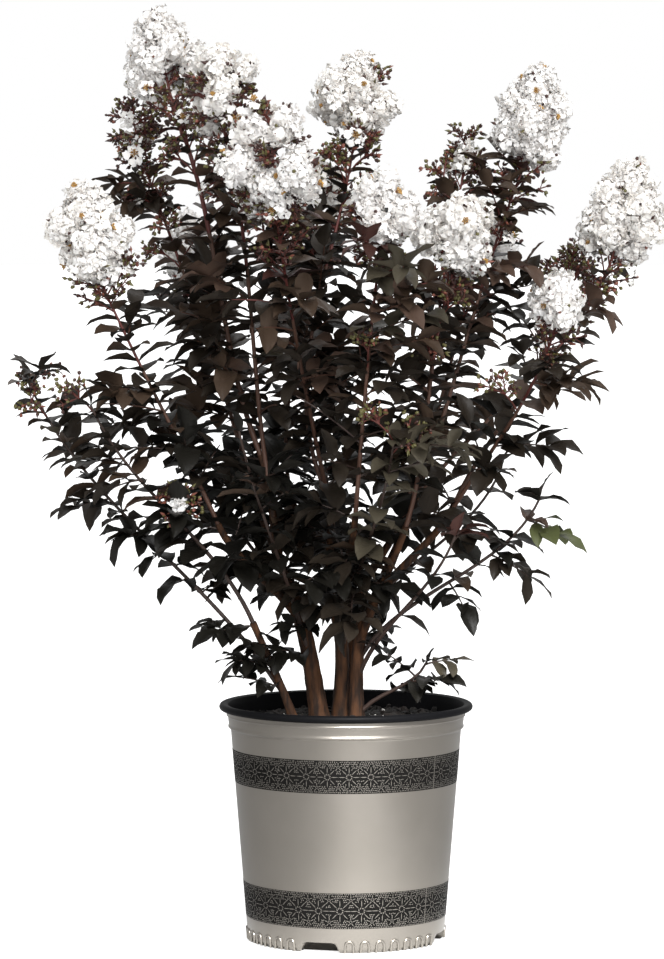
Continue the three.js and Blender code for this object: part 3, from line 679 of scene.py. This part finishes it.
def make_soil():
    rng = np.random.default_rng(SOIL_SEED)
    mix_look = material(
        "potting_mix_dark", (0.004, 0.003, 0.002), 0.95, (0.010, 0.007, 0.005), 160, bump=(0.8, 500, 1.5)
    )
    turn = around(128)
    reach = np.linspace(0.5, GROUND_RADIUS, 60)[::-1][:, None]
    waves = np.zeros((len(reach), len(turn)))
    for _ in range(GROUND_WAVES):
        way, size = rng.uniform(0, math.tau), rng.uniform(0.05, 0.6)
        waves += np.sin(size * reach * np.cos(turn - way) + rng.uniform(0, 6.3)) * 0.26
    height = GROUND - 1.2 - ground_fall(reach) + waves
    ground = Piece()
    ground.add(polar(turn, reach, height))
    ground.show("soil", mix_look, "soil", ("potting_mix",))
    for name, row in BITS.items():
        scatter(name, *row)


def scatter(name, count, size, flat, tints, seed):
    """Ragged bits strewn on the ground, in one piece for each tint."""
    rng = np.random.default_rng(seed)
    parts = [Piece() for _ in tints]
    for _ in range(count):
        reach, turn = (GROUND_RADIUS - 3) * math.sqrt(rng.uniform(0, 1)), rng.uniform(0, math.tau)
        long, wide, thick = rng.uniform(*size) * np.array([1, rng.uniform(0.35, 0.7), rng.uniform(*flat)])
        height = GROUND - 0.6 + thick * 0.3 - ground_fall(reach) + rng.uniform(-0.8, 0.8)
        middle = polar(turn, reach, height)
        axis = unit(rng.normal(size=3) * [1, 1, 0.25])
        up = upright(axis)
        side = np.cross(up, axis)
        turn = around(BIT_SIDES) + rng.uniform(0, 1)
        grid = []
        for at, share in BIT_PROFILE:
            ragged = share * rng.uniform(0.8, 1.15, BIT_SIDES)
            out = side * (ragged * np.cos(turn))[:, None] * wide / 2
            raised = up * (ragged * np.sin(turn))[:, None] * thick / 2
            grid.append(middle + axis * at * long / 2 + out + raised)
        parts[rng.integers(len(tints))].add(grid)
    for i, (part, tint) in enumerate(zip(parts, tints)):
        look = material(f"{name}_{i}", tint, 0.9, bump=(0.5, 600, 0.5))
        part.show(f"{name}_{i}", look, "soil", smooth=False)


# ---- Stems and boughs ----


def bark_tube(curve, radius, flare, rng, sides=26):
    """A tapering limb whose bark is ridged along its length, with low flakes."""
    rows = max(12, round(curve.length / 3))
    share = np.linspace(0, 1, rows)
    size = mix(radius, share) + flare * np.exp(-share * curve.length / FLARE_FALL)
    turn = around(sides)
    along = share[:, None] * curve.length
    relief = np.zeros((rows, sides))
    for k in range(2, 9):
        for _ in range(2):
            phase, drift, beat = rng.uniform(0, 6.3), rng.normal() * 0.012, rng.uniform(0.01, 0.05)
            height = (0.6 + 0.4 * np.sin(beat * along + phase)) * (0.9 / k)
            relief += np.sin(k * turn + phase + drift * along) * height
    flakes = np.sin(turn * 3 + along * 0.19 + rng.uniform(0, 6))
    flakes = flakes * np.sin(turn * 5 - along * 0.11 + rng.uniform(0, 6))
    relief = relief * 0.045 + np.clip(flakes - 0.25, 0, 0.3) * 0.16
    return rings(curve.at(share), size[:, None] * (1 + relief), sides)


def make_limbs():
    """The curves of all stems and boughs, shown as barked limbs."""
    curves = {}
    rng = np.random.default_rng(BARK_SEED)
    stems, boughs = Piece(), Piece()
    for name, (foot, fork, radius) in STEMS.items():
        start, end = np.array([*foot, GROUND - FLARE_FALL], float), np.array(fork, float)
        curves[name] = limb_curve(start, unit(unit(end - start) + UP * 0.4), end)
        stems.add(bark_tube(curves[name], radius, FLARE, rng))
    for name, (parent, *place_on) in BOUGHS.items():
        curves[name] = branch_curve(curves[parent], *place_on)
        boughs.add(bark_tube(curves[name], BOUGH_RADIUS, 0, rng, sides=16))
    bark = material(
        "bark", (0.077, 0.034, 0.0155), 0.8, (0.016, 0.009, 0.006), 150, (1, 1, 0.2), (0.36, 0.62),
        bump=(1.0, 260, 1.2), Specular_IOR_Level=0.2,
    )
    stems.show("stems", bark, "bark", list(STEMS))
    boughs.show("boughs", bark, "bark", list(BOUGHS))
    return curves


# ---- Leaves ----

LEAF_ROWS = np.array([0, 0.13, 0.34, 0.58, 0.82, 1])
LEAF_HALVES = np.array([0.06, 0.62, 1, 0.96, 0.56, 0.02])  # of the half width, at each row
LEAF_COLUMNS = np.array([-1, -0.5, 0, 0.5, 1])


def leaf_grids(leaves):
    """The upper sides of leaves, each an arching blade folded along its midrib."""
    base, way, up = (np.array([leaf[i] for leaf in leaves]) for i in range(3))
    length, width, bend, fold, wave = (np.array([leaf[i] for leaf in leaves])[:, None] for i in range(3, 8))
    angle = bend * (LEAF_ROWS**1.3 - 0.35)
    step = (np.diff(LEAF_ROWS, prepend=0) * length)[..., None]
    cosine, sine = np.cos(angle)[..., None], np.sin(angle)[..., None]
    ways = way[:, None] * cosine - up[:, None] * sine
    ups = up[:, None] * cosine + way[:, None] * sine
    middles = base[:, None] + np.cumsum((ways + np.roll(ways, 1, axis=1)) / 2 * step, axis=1)
    side = np.cross(way, up)[:, None, None]
    half = (LEAF_HALVES * width / 2)[..., None]
    s = LEAF_COLUMNS
    across = half * s * np.cos(fold)[..., None]
    raised = half * np.abs(s) * np.sin(fold)[..., None]
    ripple = np.sin(LEAF_ROWS[:, None] * 9 + np.sign(s) * 1.2 + wave[..., None])
    raised = raised + half * LEAF_RIPPLE * s * s * ripple
    return middles[:, :, None] + side * across[..., None] + ups[:, :, None] * raised[..., None]


class Foliage:
    """The leaves of the plant, dealt out by tint, and what they grow on."""

    def __init__(self, shown):
        self.shown = shown
        self.leaves = {tint: [] for tint in TINTS}
        self.twigs = {tint: Piece() for tint in TWIG_COLORS}

    def add(self, tint, base, way, length, rng):
        leaf = base + way * length * np.array([[0.35], [0.65], [1]])
        gap = self.shown[:, None] - leaf
        if ((np.hypot(gap[..., 0], gap[..., 2]) < SHOWN_WIDTH) & (gap[..., 1] > 3)).any():
            return
        up = turned(upright(way), way, rng.uniform(*LEAF_ROLL))
        width = length * rng.uniform(*LEAF_WIDTH)
        turns = (rng.uniform(*LEAF_BEND), rng.uniform(0.1, 0.5), rng.uniform(0, 6.3))
        self.leaves[tint].append((base, way, up, length, width, *turns))

    def show(self, nodes):
        for tint, (color, roughness) in LEAF_LOOKS.items():
            upper, under = Piece(), Piece()
            grids = leaf_grids(self.leaves[tint])
            upper.add(grids, False)
            under.add((grids - leaf_normals(grids) * LEAF_THICKNESS)[:, :, ::-1], False)
            look = material(f"leaf_{tint}", color, roughness, bump=(0.6, 300, 0.7), Specular_IOR_Level=0.22)
            pale = [1.2 * c + 0.002 for c in color]
            back = material(f"leaf_{tint}_under", pale, 0.6, bump=(0.5, 260, 0.6), Specular_IOR_Level=0.2)
            upper.show(f"leaves_{tint}", look, "foliage", nodes if tint == TINTS[0] else ())
            under.show(f"leaves_{tint}_under", back, "foliage")
        for tint, color in TWIG_COLORS.items():
            look = material(f"twig_{tint}", color, 0.6, bump=(0.4, 500))
            self.twigs[tint].show(f"twigs_{tint}", look, "foliage")


def leaf_normals(grids):
    """The normal of each sheet at each of its points."""
    along, across = np.gradient(grids, axis=1), np.gradient(grids, axis=2)
    return unit(np.cross(across, along))


def nodes_of(length, spacing, turn):
    """Places along a leader or twig, with the turn that their leaves take."""
    count = max(1, math.floor(length / spacing + 0.5))
    back = length * 0.15 if count == 1 else 0
    return [(length * (k + 0.75) / count - back, turn + k * GOLDEN_ANGLE) for k in range(count)]


def droop(height, rng):
    """How far a leaf at a height hangs."""
    return rng.uniform(*LEAF_DROOP) + LOW_DROOP * np.clip((540 - height) / 160, 0, 1)


def leaf_way(along, turn, droop):
    way = outward(along, turn) + along * LEAF_RISE
    way[2] = way[2] * 0.42 - droop
    return unit(way)


def grow_twig(foliage, start, way, length, turn, share, tint, add_leaf, rng):
    """A twig with its leaves. share is its place on the shoot or limb."""
    end = start + way * length
    bow = np.array([0, 0, length * 0.05])
    line = Curve(start, start + way * length * 0.35 + bow, end - way * length * 0.3 + bow, end)
    color = "dark" if start[2] < LOW_TWIGS else "red" if share > 0.6 and start[2] > RED_TWIGS else "brown"
    foliage.twigs[color].add(rings(line.at(np.linspace(0, 1, 6)), np.linspace(*TWIG_RADIUS, 6), 5))
    size = mix((1, TIP_SIZE), share)
    for node, spin in nodes_of(length, LEAF_SPACING, turn):
        foot = line.at(node / length)
        for half in (0, math.pi):
            add_leaf(tint, foot, leaf_way(way, spin + half, droop(foot[2], rng)), size)
    add_leaf(tint, end, unit(way - UP * droop(end[2], rng)), size)


def each_row(table):
    """The rows of a table that is grouped by limb, each with its limb's name."""
    return [(name, *row) for name, *rows in table for row in rows]


def grow_on_limbs(foliage, limbs, leaders):
    """Leafy twigs on the boughs, and more of them where the plant is fuller than its rule."""
    rng = np.random.default_rng(LIMB_SEED)

    def add_leaf(tint, base, way, size):
        length = rng.uniform(*LEAF_LENGTH) * size
        tip = base + way * length
        over_soil = np.hypot(tip[0], tip[1]) < RIM_RADIUS - 22 and tip[2] > GROUND + 8
        if over_soil or tip[2] > POT_HEIGHT + 12:
            foliage.add(tint, base, way, length, rng)

    for name in BOUGHS:
        curve = limbs[name]
        for at, turn in nodes_of(curve.length, BOUGH_TWIG_SPACING, rng.uniform(0, 6.3)):
            share = at / curve.length
            if share < BOUGH_BARE.get(name, 0.25):
                continue
            along = curve.way(share)
            way = unit(outward(along, turn) + along * rng.uniform(*TWIG_RISE))
            # painted shade: half the twigs inside the crown take the darkest tint
            tint = ("coal", "black", "brown")[rng.choice(3, p=(0.5, 0.35, 0.15))]
            length = rng.uniform(*BOUGH_TWIG_LENGTH)
            grow_twig(foliage, curve.at(share), way, length, turn, 0.3, tint, add_leaf, rng)
    curves = {**limbs, **leaders}
    for name, share, bearing, rise, length, leaf, tint in each_row(SPRIGS):

        def add_sized(tint, base, way, size, leaf=leaf):
            add_leaf(tint, base, way, size * leaf)

        way = unit(polar(math.radians(bearing), 1, rise))
        grow_twig(foliage, curves[name].at(share), way, length, share, 0.3, tint, add_sized, rng)


class Shoot:
    """A leader with its twigs and leaves, and the space that is its own."""

    def __init__(self, name, number, parent, at, bearing, reach, height, bloom=None):
        self.name, self.number, self.bloom = name, number, bloom
        self.curve = branch_curve(parent, at, bearing, reach, height)
        self.length = self.curve.length
        self.full = min(1, self.length / FULL_LEADER)
        self.bare = self.length * BARE_FEET.get(name, BARE)
        self.line = self.curve.at(np.linspace(0, 1, 15))
        self.rng = np.random.default_rng(SHOOT_SEED + number)

    def in_space(self, point, shoots):
        near = {s.name: np.linalg.norm(s.line - point, axis=1).min() for s in shoots}
        own = near.pop(self.name) - SPACE_MARGIN
        in_pot = np.hypot(point[0], point[1]) < RIM_RADIUS + 3 and point[2] < POT_HEIGHT + 2
        return own < min(near.values()) and not in_pot

    def tint(self, share):
        """The tint of a spray of leaves, by its place. Higher sprays get the brown and umber tints more often
        and black less, as painted light; sprays below 620 mm get the darkest tint, as painted shade.
        """
        if self.name == "low_front" and share > 0.5:
            return "olive"
        height = self.curve.at(share)[2]
        # painted light: the higher the spray, the lighter its tint is likely to be
        painted_light = np.clip((height - 450) / 350, 0, 1)
        odds = {"black": 0.7 - 0.3 * painted_light, "brown": 0.2 + 0.15 * painted_light, "umber": 0.05 + 0.15 * painted_light}
        odds["olive"] = 0.03
        odds["green"] = 0.1 if self.name in GREENEST and share > 0.5 else 0
        odds["red"] = 0.2 if share > 0.8 else 0
        # painted shade: low sprays take the darkest tint
        odds["coal"] = 1.6 * np.clip((620 - height) / 160, 0, 1)
        odds = np.array([odds[tint] for tint in TINTS])
        return TINTS[self.rng.choice(len(TINTS), p=odds / odds.sum())]

    def grow(self, foliage, shoots):
        rng, curve = self.rng, self.curve
        twig_share, twig_size, bare = OPENNESS.get(self.name, (1, 1, 0))
        share = np.linspace(0, 1, max(8, round(self.length / 12)))
        cut = round(len(share) * YOUNG_LEADER)
        colors = ("brown", "red") if self.bloom else ("dark", "dark")
        for color, part in zip(colors, (share[: cut + 1], share[cut:])):
            radii = mix(STOUT_LEADERS.get(self.name, LEADER_RADIUS), part)
            foliage.twigs[color].add(rings(curve.at(part), radii, 8))

        def add_leaf(tint, base, way, size):
            length = rng.uniform(*LEAF_LENGTH) * size * self.full
            if self.in_space(base + way * length, shoots):
                foliage.add(tint, base, way, length, rng)

        def add_twig(at, turn, chance):
            """A twig in the same place as the source's, carried on a little and set with finer nodes."""
            share = at / self.length
            start, along = curve.at(share), curve.way(share)
            way = unit(outward(along, turn) + along * mix(TWIG_RISE, chance()))
            length = (mix(TWIG_LENGTH, share) * (0.8 + 0.4 * chance()) + TWIG_GROWTH) * twig_size
            if not bare < share < TWIGS_END.get(self.name, 1) or rng.random() >= twig_share:
                return
            if self.in_space(start + way * length, shoots):
                grow_twig(foliage, start, way, length, turn, share, self.tint(share), add_leaf, rng)

        collars = nodes_of(self.length, PAIR_SPACING * self.full, self.number)
        for k, (at, turn) in enumerate(row for row in collars if row[0] > self.bare):
            side = math.pi / 2 if k % 2 == 0 else -math.pi / 2
            add_twig(at, turn + side, seeded(100 * self.number + k))
        for at, turn in nodes_of(self.length, LEAF_SPACING * self.full, self.number):
            share = at / self.length
            if at < self.bare or share < bare or rng.random() > 2 * twig_share:
                continue
            tint = self.tint(share)
            for half in (0, math.pi):
                way = leaf_way(curve.way(share), turn + half, droop(curve.at(share)[2], rng))
                add_leaf(tint, curve.at(share), way, mix((1, TIP_SIZE), share))
        if not self.bloom:
            tint, end, along = self.tint(0.9), curve.at(1.0), curve.way(1.0)
            for way in (*(leaf_way(along, self.number + half, 0.1) for half in (0, math.pi)), along):
                add_leaf(tint, end, way, 0.6)


# ---- Flowers ----

PETAL_ROWS = np.array([0, 0.4, 0.72, 1])
PETAL_HALVES = np.array([0.03, 0.08, 0.44, 0.34])  # of the flower's radius
PETAL_COLUMNS = np.linspace(-1, 1, 4)
CRINKLE = np.array([1, -1, 1, -1])


def petal_grids(middles, axes, radii, rng):
    """Six crinkled petals for each flower, on narrow claws."""
    number = len(middles)
    up = upright(axes)
    across = np.cross(up, axes)
    s, t = PETAL_COLUMNS, PETAL_ROWS[:, None]
    blade = np.clip((t - 0.3) / 0.7, 0, 1)
    grids = []
    for k in range(6):
        turn = k * math.pi / 3 + rng.uniform(-0.25, 0.25, (number, 1))
        radial = across * np.cos(turn) + up * np.sin(turn)
        cup = rng.uniform(-0.1, 0.8, (number, 1))
        way = radial * np.cos(cup) + axes * np.sin(cup)
        top = axes * np.cos(cup) - radial * np.sin(cup)
        size = radii * rng.uniform(0.75, 1.15, number)
        rough = rng.uniform(-1, 1, (3, number, 4, 4))
        along = t - 0.16 * blade * s * s + 0.11 * blade * rough[0]
        wide = PETAL_HALVES[:, None] * s * (1 + 0.2 * blade * rough[1])
        raised = blade * (0.12 * CRINKLE + 0.12 * rough[2]) - 0.25 * blade**2
        parts = [(along, way), (wide, np.cross(way, top)), (raised, top)]
        grid = sum(amount[..., None] * v[:, None, None] for amount, v in parts)
        grids.append(middles[:, None, None] + grid * size[:, None, None, None])
    return np.concatenate(grids)


HEART = tuple((math.sin(a), max(0.05, math.cos(a))) for a in np.linspace(-1.5, 1.5, 7))
ROUND_BUD = ((-1.0, 0.3), (-0.25, 1.0), (0.6, 0.8), (1.15, 0.05))
LONG_BUD = ((-1.2, 0.3), (0.2, 0.8), (2.4, 0.05))
ANTHER = ((-1, 0.1), (0, 1), (1, 0.1))
ANTHER_RADIUS = 1.25


class Blossom:
    """The flowers and buds of the plant, each kind joined."""

    def __init__(self):
        self.petals = [Piece() for _ in PETAL_COLORS]
        self.filaments, self.anthers, self.stalks = Piece(), Piece(), Piece()
        self.buds = {tint: Piece() for tint in BUD_COLORS}

    def add_stalks(self, *row):
        self.stalks.add(stalks(*row))

    def add_flowers(self, middles, axes, rng, batch, open_share, size=1):
        radii = rng.uniform(*FLOWER_RADIUS, len(middles)) * size
        self.petals[batch].add(petal_grids(middles, axes, radii, rng), False)
        k = np.arange(STAMENS)[:, None]
        for middle, axis, radius in zip(middles, axes, radii):
            if rng.random() > open_share:
                continue
            up, turn = upright(axis), k * GOLDEN_ANGLE
            side = np.cross(up, axis) * np.cos(turn) + up * np.sin(turn)
            out = axis * rng.uniform(0.35, 0.6, (STAMENS, 1)) + side * 0.34 * np.sqrt((k + 0.5) / STAMENS)
            ends = middle + out * radius
            self.filaments.add(stalks(middle + side * 0.6, ends, FILAMENT, *FINE))
            ways = np.repeat(axis[None], STAMENS, 0)
            self.anthers.add(balls(ends, ways, np.full(STAMENS, ANTHER_RADIUS), ANTHER, 3))

    def add_buds(self, middles, ways, rng, odds=BUDS, long_share=0.35):
        kinds = rng.choice(3, len(middles), p=odds) + 3 * (rng.random(len(middles)) < long_share)
        for i in np.unique(kinds):
            chosen = kinds == i
            radii = rng.uniform(*BUD_RADIUS, chosen.sum())
            buds = balls(middles[chosen], ways[chosen], radii, LONG_BUD if i > 2 else ROUND_BUD, 5)
            list(self.buds.values())[i % 3].add(buds)

    def show(self, nodes):
        thin = {"Subsurface_Weight": 0.8, "Subsurface_Radius": (1.0, 0.98, 0.96), "Subsurface_Scale": 0.008}
        for petals, (tint, color) in zip(self.petals, PETAL_COLORS.items()):
            look = material(f"petal_{tint}", color, 0.7, bump=(0.2, 360), **thin)
            petals.show(f"petals_{tint}", look, "blossom", nodes if tint == "white" else ())
        self.filaments.show("filaments", material("filament", (0.30, 0.15, 0.06), 0.6), "blossom")
        self.anthers.show("anthers", material("anther_gold", (0.44, 0.25, 0.065), 0.6), "blossom")
        for tint, color in BUD_COLORS.items():
            look = material(f"bud_{tint}", color, 0.5, bump=(0.3, 500))
            self.buds[tint].show(f"buds_{tint}", look, "foliage")
        self.stalks.show("flower_stalks", material("flower_stalk", (0.115, 0.027, 0.020), 0.55), "foliage")


def grow_spray(blossom, start, way, length, rng, pairs, batch, green=False):
    """A branchlet with crowded buds along its outer part. A few end in a flower, and none that is green."""
    end = start + way * length
    blossom.add_stalks([start], [end], SPRAY_STALK, STALK_RISE)
    middles, ways = [end + way * 2], [way]
    for j in range(pairs):
        at = start + way * length * (0.35 + 0.63 * j / (pairs - 1))
        for half in (0, math.pi):
            side = unit(outward(way, j * 1.57 + half) + way * rng.uniform(0.5, 1.3))
            tip = at + side * rng.uniform(3, 8)
            blossom.add_stalks([at], [tip], BUD_STALK, *FINE)
            for k in range(2):
                turn = unit(outward(side, k * 2.1 + j) * (0.8 if k else 0.1) + side)
                middles.append(tip + turn * rng.uniform(1.5, 3.5))
                ways.append(turn)
    odds, long_share = (GREEN_BUDS, 0.25) if green else (BUDS, 0.55)
    blossom.add_buds(np.array(middles), np.array(ways), rng, odds, long_share)
    if rng.random() < SPRAY_FLOWERS and not green:
        blossom.add_flowers(end[None] + way * 3, stray(way, 0.3, rng, 1), rng, batch, 0.5)


def panicle_frame(shoot):
    """The foot of a shoot's panicle, its way, and the turn from upright to that way as a matrix."""
    along = shoot.curve.way(1.0)
    way = unit(along * 0.5 + UP * 0.5)
    axis = np.cross(UP, way)
    sine = np.linalg.norm(axis)
    axis = axis / sine if sine > 1e-6 else LEVEL_WAY
    columns = [turned(e, axis, math.atan2(sine, way @ UP)) for e in np.eye(3)]
    return shoot.curve.at(1.0) + along * CLEAR, way, np.array(columns)


def grow_aside(shoot, number, blossom, share, bearing, kind=SPRAYS):
    """A stalk off a leader with sprays of buds, and on some a small bloom, an open flower or a puff."""
    rng, batch, bearing = np.random.default_rng(ASIDE_SEED + number), number % 2, math.radians(bearing)
    start, along = shoot.curve.at(share), shoot.curve.way(share)
    way = unit(polar(bearing, 1, 0.6) + along * 0.5)
    end = start + way * rng.uniform(22, 34)
    blossom.add_stalks([start], [end], ASIDE_STALK, STALK_RISE)
    for _ in range(4):
        out = stray(way, 0.6, rng)
        grow_spray(blossom, end, out, rng.uniform(16, 28), rng, 4, batch, kind in (SPRAYS, PUFF))
    face = unit(polar(bearing, 1, 0.3))
    if kind == FLOWER:
        blossom.add_flowers(end + face[None] * 20, face[None], rng, batch, 1, 1.3)
        blossom.add_stalks([end], end + face[None] * 19, (0.8, 0.7), 0, 3)
    elif kind == PUFF:
        ways = stray(face * 0.7, 0.7, rng, 12)
        blossom.add_flowers(end + face * 14 + ways * 4, ways, rng, batch, 0, 0.85)
        blossom.add_stalks([end], [end + face * 14], (0.8, 0.7), 0, 3)
    elif kind == BLOOM:
        ways = stray(way, 0.6, rng, 4)
        blossom.add_flowers(end + ways * 12, ways, rng, batch, 0.3)
        blossom.add_stalks([end] * 4, end + ways * 11, (0.7, 0.6), 0, 3)


def grow_panicle(shoot, blossom):
    """Clusters of flowers on branches round the panicle's axis, with sprays of buds where it isn't full."""
    rng = np.random.default_rng(PANICLE_SEED + shoot.number)
    width, height = shoot.bloom
    batch = int(blossom.petals[1].count < blossom.petals[0].count)
    full, upper = FULLNESS.get(shoot.name, (1, 0))
    foot, way, turn = panicle_frame(shoot)
    count = round(8 + width * height / 1000)
    shrink, inset = (1, 1) if full > SMALL_CLUSTERS else (0.72, 0.6)
    clusters = []
    for k in range(count):
        share = (k + 0.5) / count
        size = width * rng.uniform(*CLUSTER_SIZE) * shrink
        profile = math.sqrt(max(0.12, 1 - (1.75 * share - 0.7) ** 2))
        reach = max(0, width / 2 * profile * rng.uniform(0.74, 1.25) - size * inset - 3)
        spin = k * GOLDEN_ANGLE + rng.uniform(-0.4, 0.4)
        up = 6 + size * 0.6 + (height - 6 - size * 1.4) * share
        clusters.append((polar(spin, reach, up) @ turn + foot, size))
    order = np.argsort(np.arange(count) / count * upper + rng.uniform(0, 0.5, count))
    flowering = np.isin(np.arange(count), order[-max(1, round(full * count)):])
    blossom.add_stalks([foot], [foot + way * height * 0.85], (1.8, 0.7))
    for k, (middle, size) in enumerate(clusters):
        root = foot + way * np.clip((middle - foot) @ way - size * 0.9, 2, height * 0.8)
        blossom.add_stalks([root], [middle], (1.1, 0.8), -0.06)
        if flowering[k]:
            grow_cluster(blossom, k, clusters, way, rng, batch)
            continue
        for _ in range(3):
            out = stray(stray(middle - root, 0.1, rng), 0.45, rng)
            length = max(18, size * 1.4) * rng.uniform(0.8, 1.3)
            grow_spray(blossom, root + (middle - root) * 0.5, out, length, rng, 5, batch)
    for k in range(round(8 + 10 * (1 - full))):
        share = 1 - 0.05 * (k // 3) - 0.03 * rng.uniform(0, 1)
        start, along = shoot.curve.at(share), shoot.curve.way(share)
        out = unit(outward(along, k * GOLDEN_ANGLE) + along * rng.uniform(0.6, 1.3))
        grow_spray(blossom, start, out, max(30, width * 0.4) * rng.uniform(0.8, 1.2), rng, 5, batch)


def grow_cluster(blossom, own, clusters, way, rng, batch):
    """A ball of flowers and a few buds. The flowers that other clusters hide are left out."""
    middle, size = clusters[own]
    number = round(4 * math.pi * size * size / FLOWER_AREA)
    j = np.arange(number)
    z, spin = 1 - 2 * (j + 0.5) / number, j * GOLDEN_ANGLE + rng.uniform(0, 6.3)
    flat = np.sqrt(1 - z * z)
    ball = stray(np.stack([flat * np.cos(spin), flat * np.sin(spin), z], -1), 0.12, rng, number)
    heart = balls([middle], [way], [size * 0.7], HEART, 8)
    blossom.petals[batch].add(heart + rng.normal(0, size * 0.05, heart.shape))
    middles = middle + ball * size * rng.uniform(0.75, 1.0, (number, 1))
    hidden = [np.linalg.norm(middles - m, axis=1) < 0.75 * r for m, r in clusters if m is not middle]
    seen = ~np.any(hidden, axis=0)
    middles, ball = middles[seen], ball[seen]
    axes = stray(ball, 0.3, rng, len(ball))
    blossom.add_flowers(middles, axes, rng, batch, OPEN_SHARE)
    blossom.add_stalks(np.repeat(middle[None], len(middles), 0), middles - axes * 1.5, (0.8, 0.6), *FINE)
    number = max(2, round(size * size / BUD_AREA))
    ways = stray(0, 1, rng, number)
    blossom.add_buds(middle + ways * size * rng.uniform(0.9, 1.12, (number, 1)), ways, rng)


# ---- The scene ----


def lamp(name, kind, angle, **looks):
    """A source of light. angle is how wide it looks or shines, in degrees."""
    light = bpy.data.lights.new(name, kind)
    setattr(light, "angle" if kind == "SUN" else "spot_size", math.radians(angle))
    for key, value in looks.items():
        setattr(light, key, value)
    return put(name, light)


def only_seen(tree, socket, light, seen):
    """Sets a socket of the studio to one value as a source of light and to another as it is seen."""
    value = set_all(tree.nodes.new("ShaderNodeMix"), {"A": light, "B": seen})
    tree.links.new(tree.nodes.new("ShaderNodeLightPath").outputs["Is Camera Ray"], value.inputs["Factor"])
    tree.links.new(value.outputs["Result"], socket)


def make_stage():
    """The floor, the studio with its lights, and the camera."""
    mesh = bpy.data.meshes.new("floor")
    corners = [(x * FLOOR_SIZE, y * FLOOR_SIZE, 0) for x, y in ((-1, -1), (1, -1), (1, 1), (-1, 1))]
    mesh.from_pydata(corners, [], [(0, 1, 2, 3)])
    pale = material("floor", (0.5, 0.5, 0.5), 0.9, Emission_Color=(1, 1, 1, 1), Specular_IOR_Level=0.2)
    only_seen(pale.node_tree, pale.node_tree.nodes["Principled BSDF"].inputs["Emission Strength"], 0.0, 0.8)
    mesh.materials.append(pale)
    floor = put("floor", mesh)

    # A white studio whose walls give only a little of the light.
    world = bpy.data.worlds.new("studio")
    bpy.context.scene.world = world
    world.use_nodes = True
    background = set_all(world.node_tree.nodes["Background"], {"Color": (1, 1, 1, 1)})
    only_seen(world.node_tree, background.inputs["Strength"], WALL_LIGHT, 1.0)
    for name, bearing, height, strength, angle in SUNS:
        thing = lamp(name, "SUN", angle, energy=strength)
        thing.rotation_euler = (math.radians(90 - height), 0, math.radians(bearing + 90))
    for number, (power, place_at, aim, angle) in enumerate(FLOOR_SPOTS):
        soft = {"spot_blend": 1.0, "shadow_soft_size": 0.1}
        thing = lamp(f"floor_spot_{number}", "SPOT", angle, energy=power, **soft)
        thing.location = place_at
        thing.rotation_euler = (Vector(aim) - Vector(place_at)).to_track_quat("-Z", "Y").to_euler()

    camera = bpy.data.cameras.new("camera")
    camera.sensor_width, camera.lens = SENSOR, SENSOR * CAMERA_LENS / PICTURE_HEIGHT
    camera.clip_start, camera.clip_end = 0.1, 200
    thing = put("camera", camera)
    thing.location = CAMERA_PLACE
    thing.rotation_euler = (math.radians(90 - CAMERA_FALL), 0, 0)
    bpy.context.scene.camera = thing
    bpy.context.scene.view_settings.view_transform = "Standard"


def main():
    make_pot()
    make_bands()
    make_soil()
    limbs = make_limbs()
    shoots = {name: Shoot(name, i, limbs[row[0]], *row[1:]) for i, (name, row) in enumerate(SHOOTS.items())}
    shown = [shoot.curve.at(np.linspace(*SHOWN[name], 30)) for name, shoot in shoots.items() if name in SHOWN]
    foliage, blossom = Foliage(np.concatenate(shown)), Blossom()
    for shoot in shoots.values():
        shoot.grow(foliage, shoots.values())
        if shoot.bloom:
            grow_panicle(shoot, blossom)
    grow_on_limbs(foliage, limbs, {name: shoot.curve for name, shoot in shoots.items()})
    for number, (name, *place_on) in enumerate(each_row(ASIDES)):
        grow_aside(shoots[name], number, blossom, *place_on)
    foliage.show([f"foliage_{name}" for name in shoots])
    blossom.show([f"panicle_{name}" for name, shoot in shoots.items() if shoot.bloom])
    make_stage()


main()
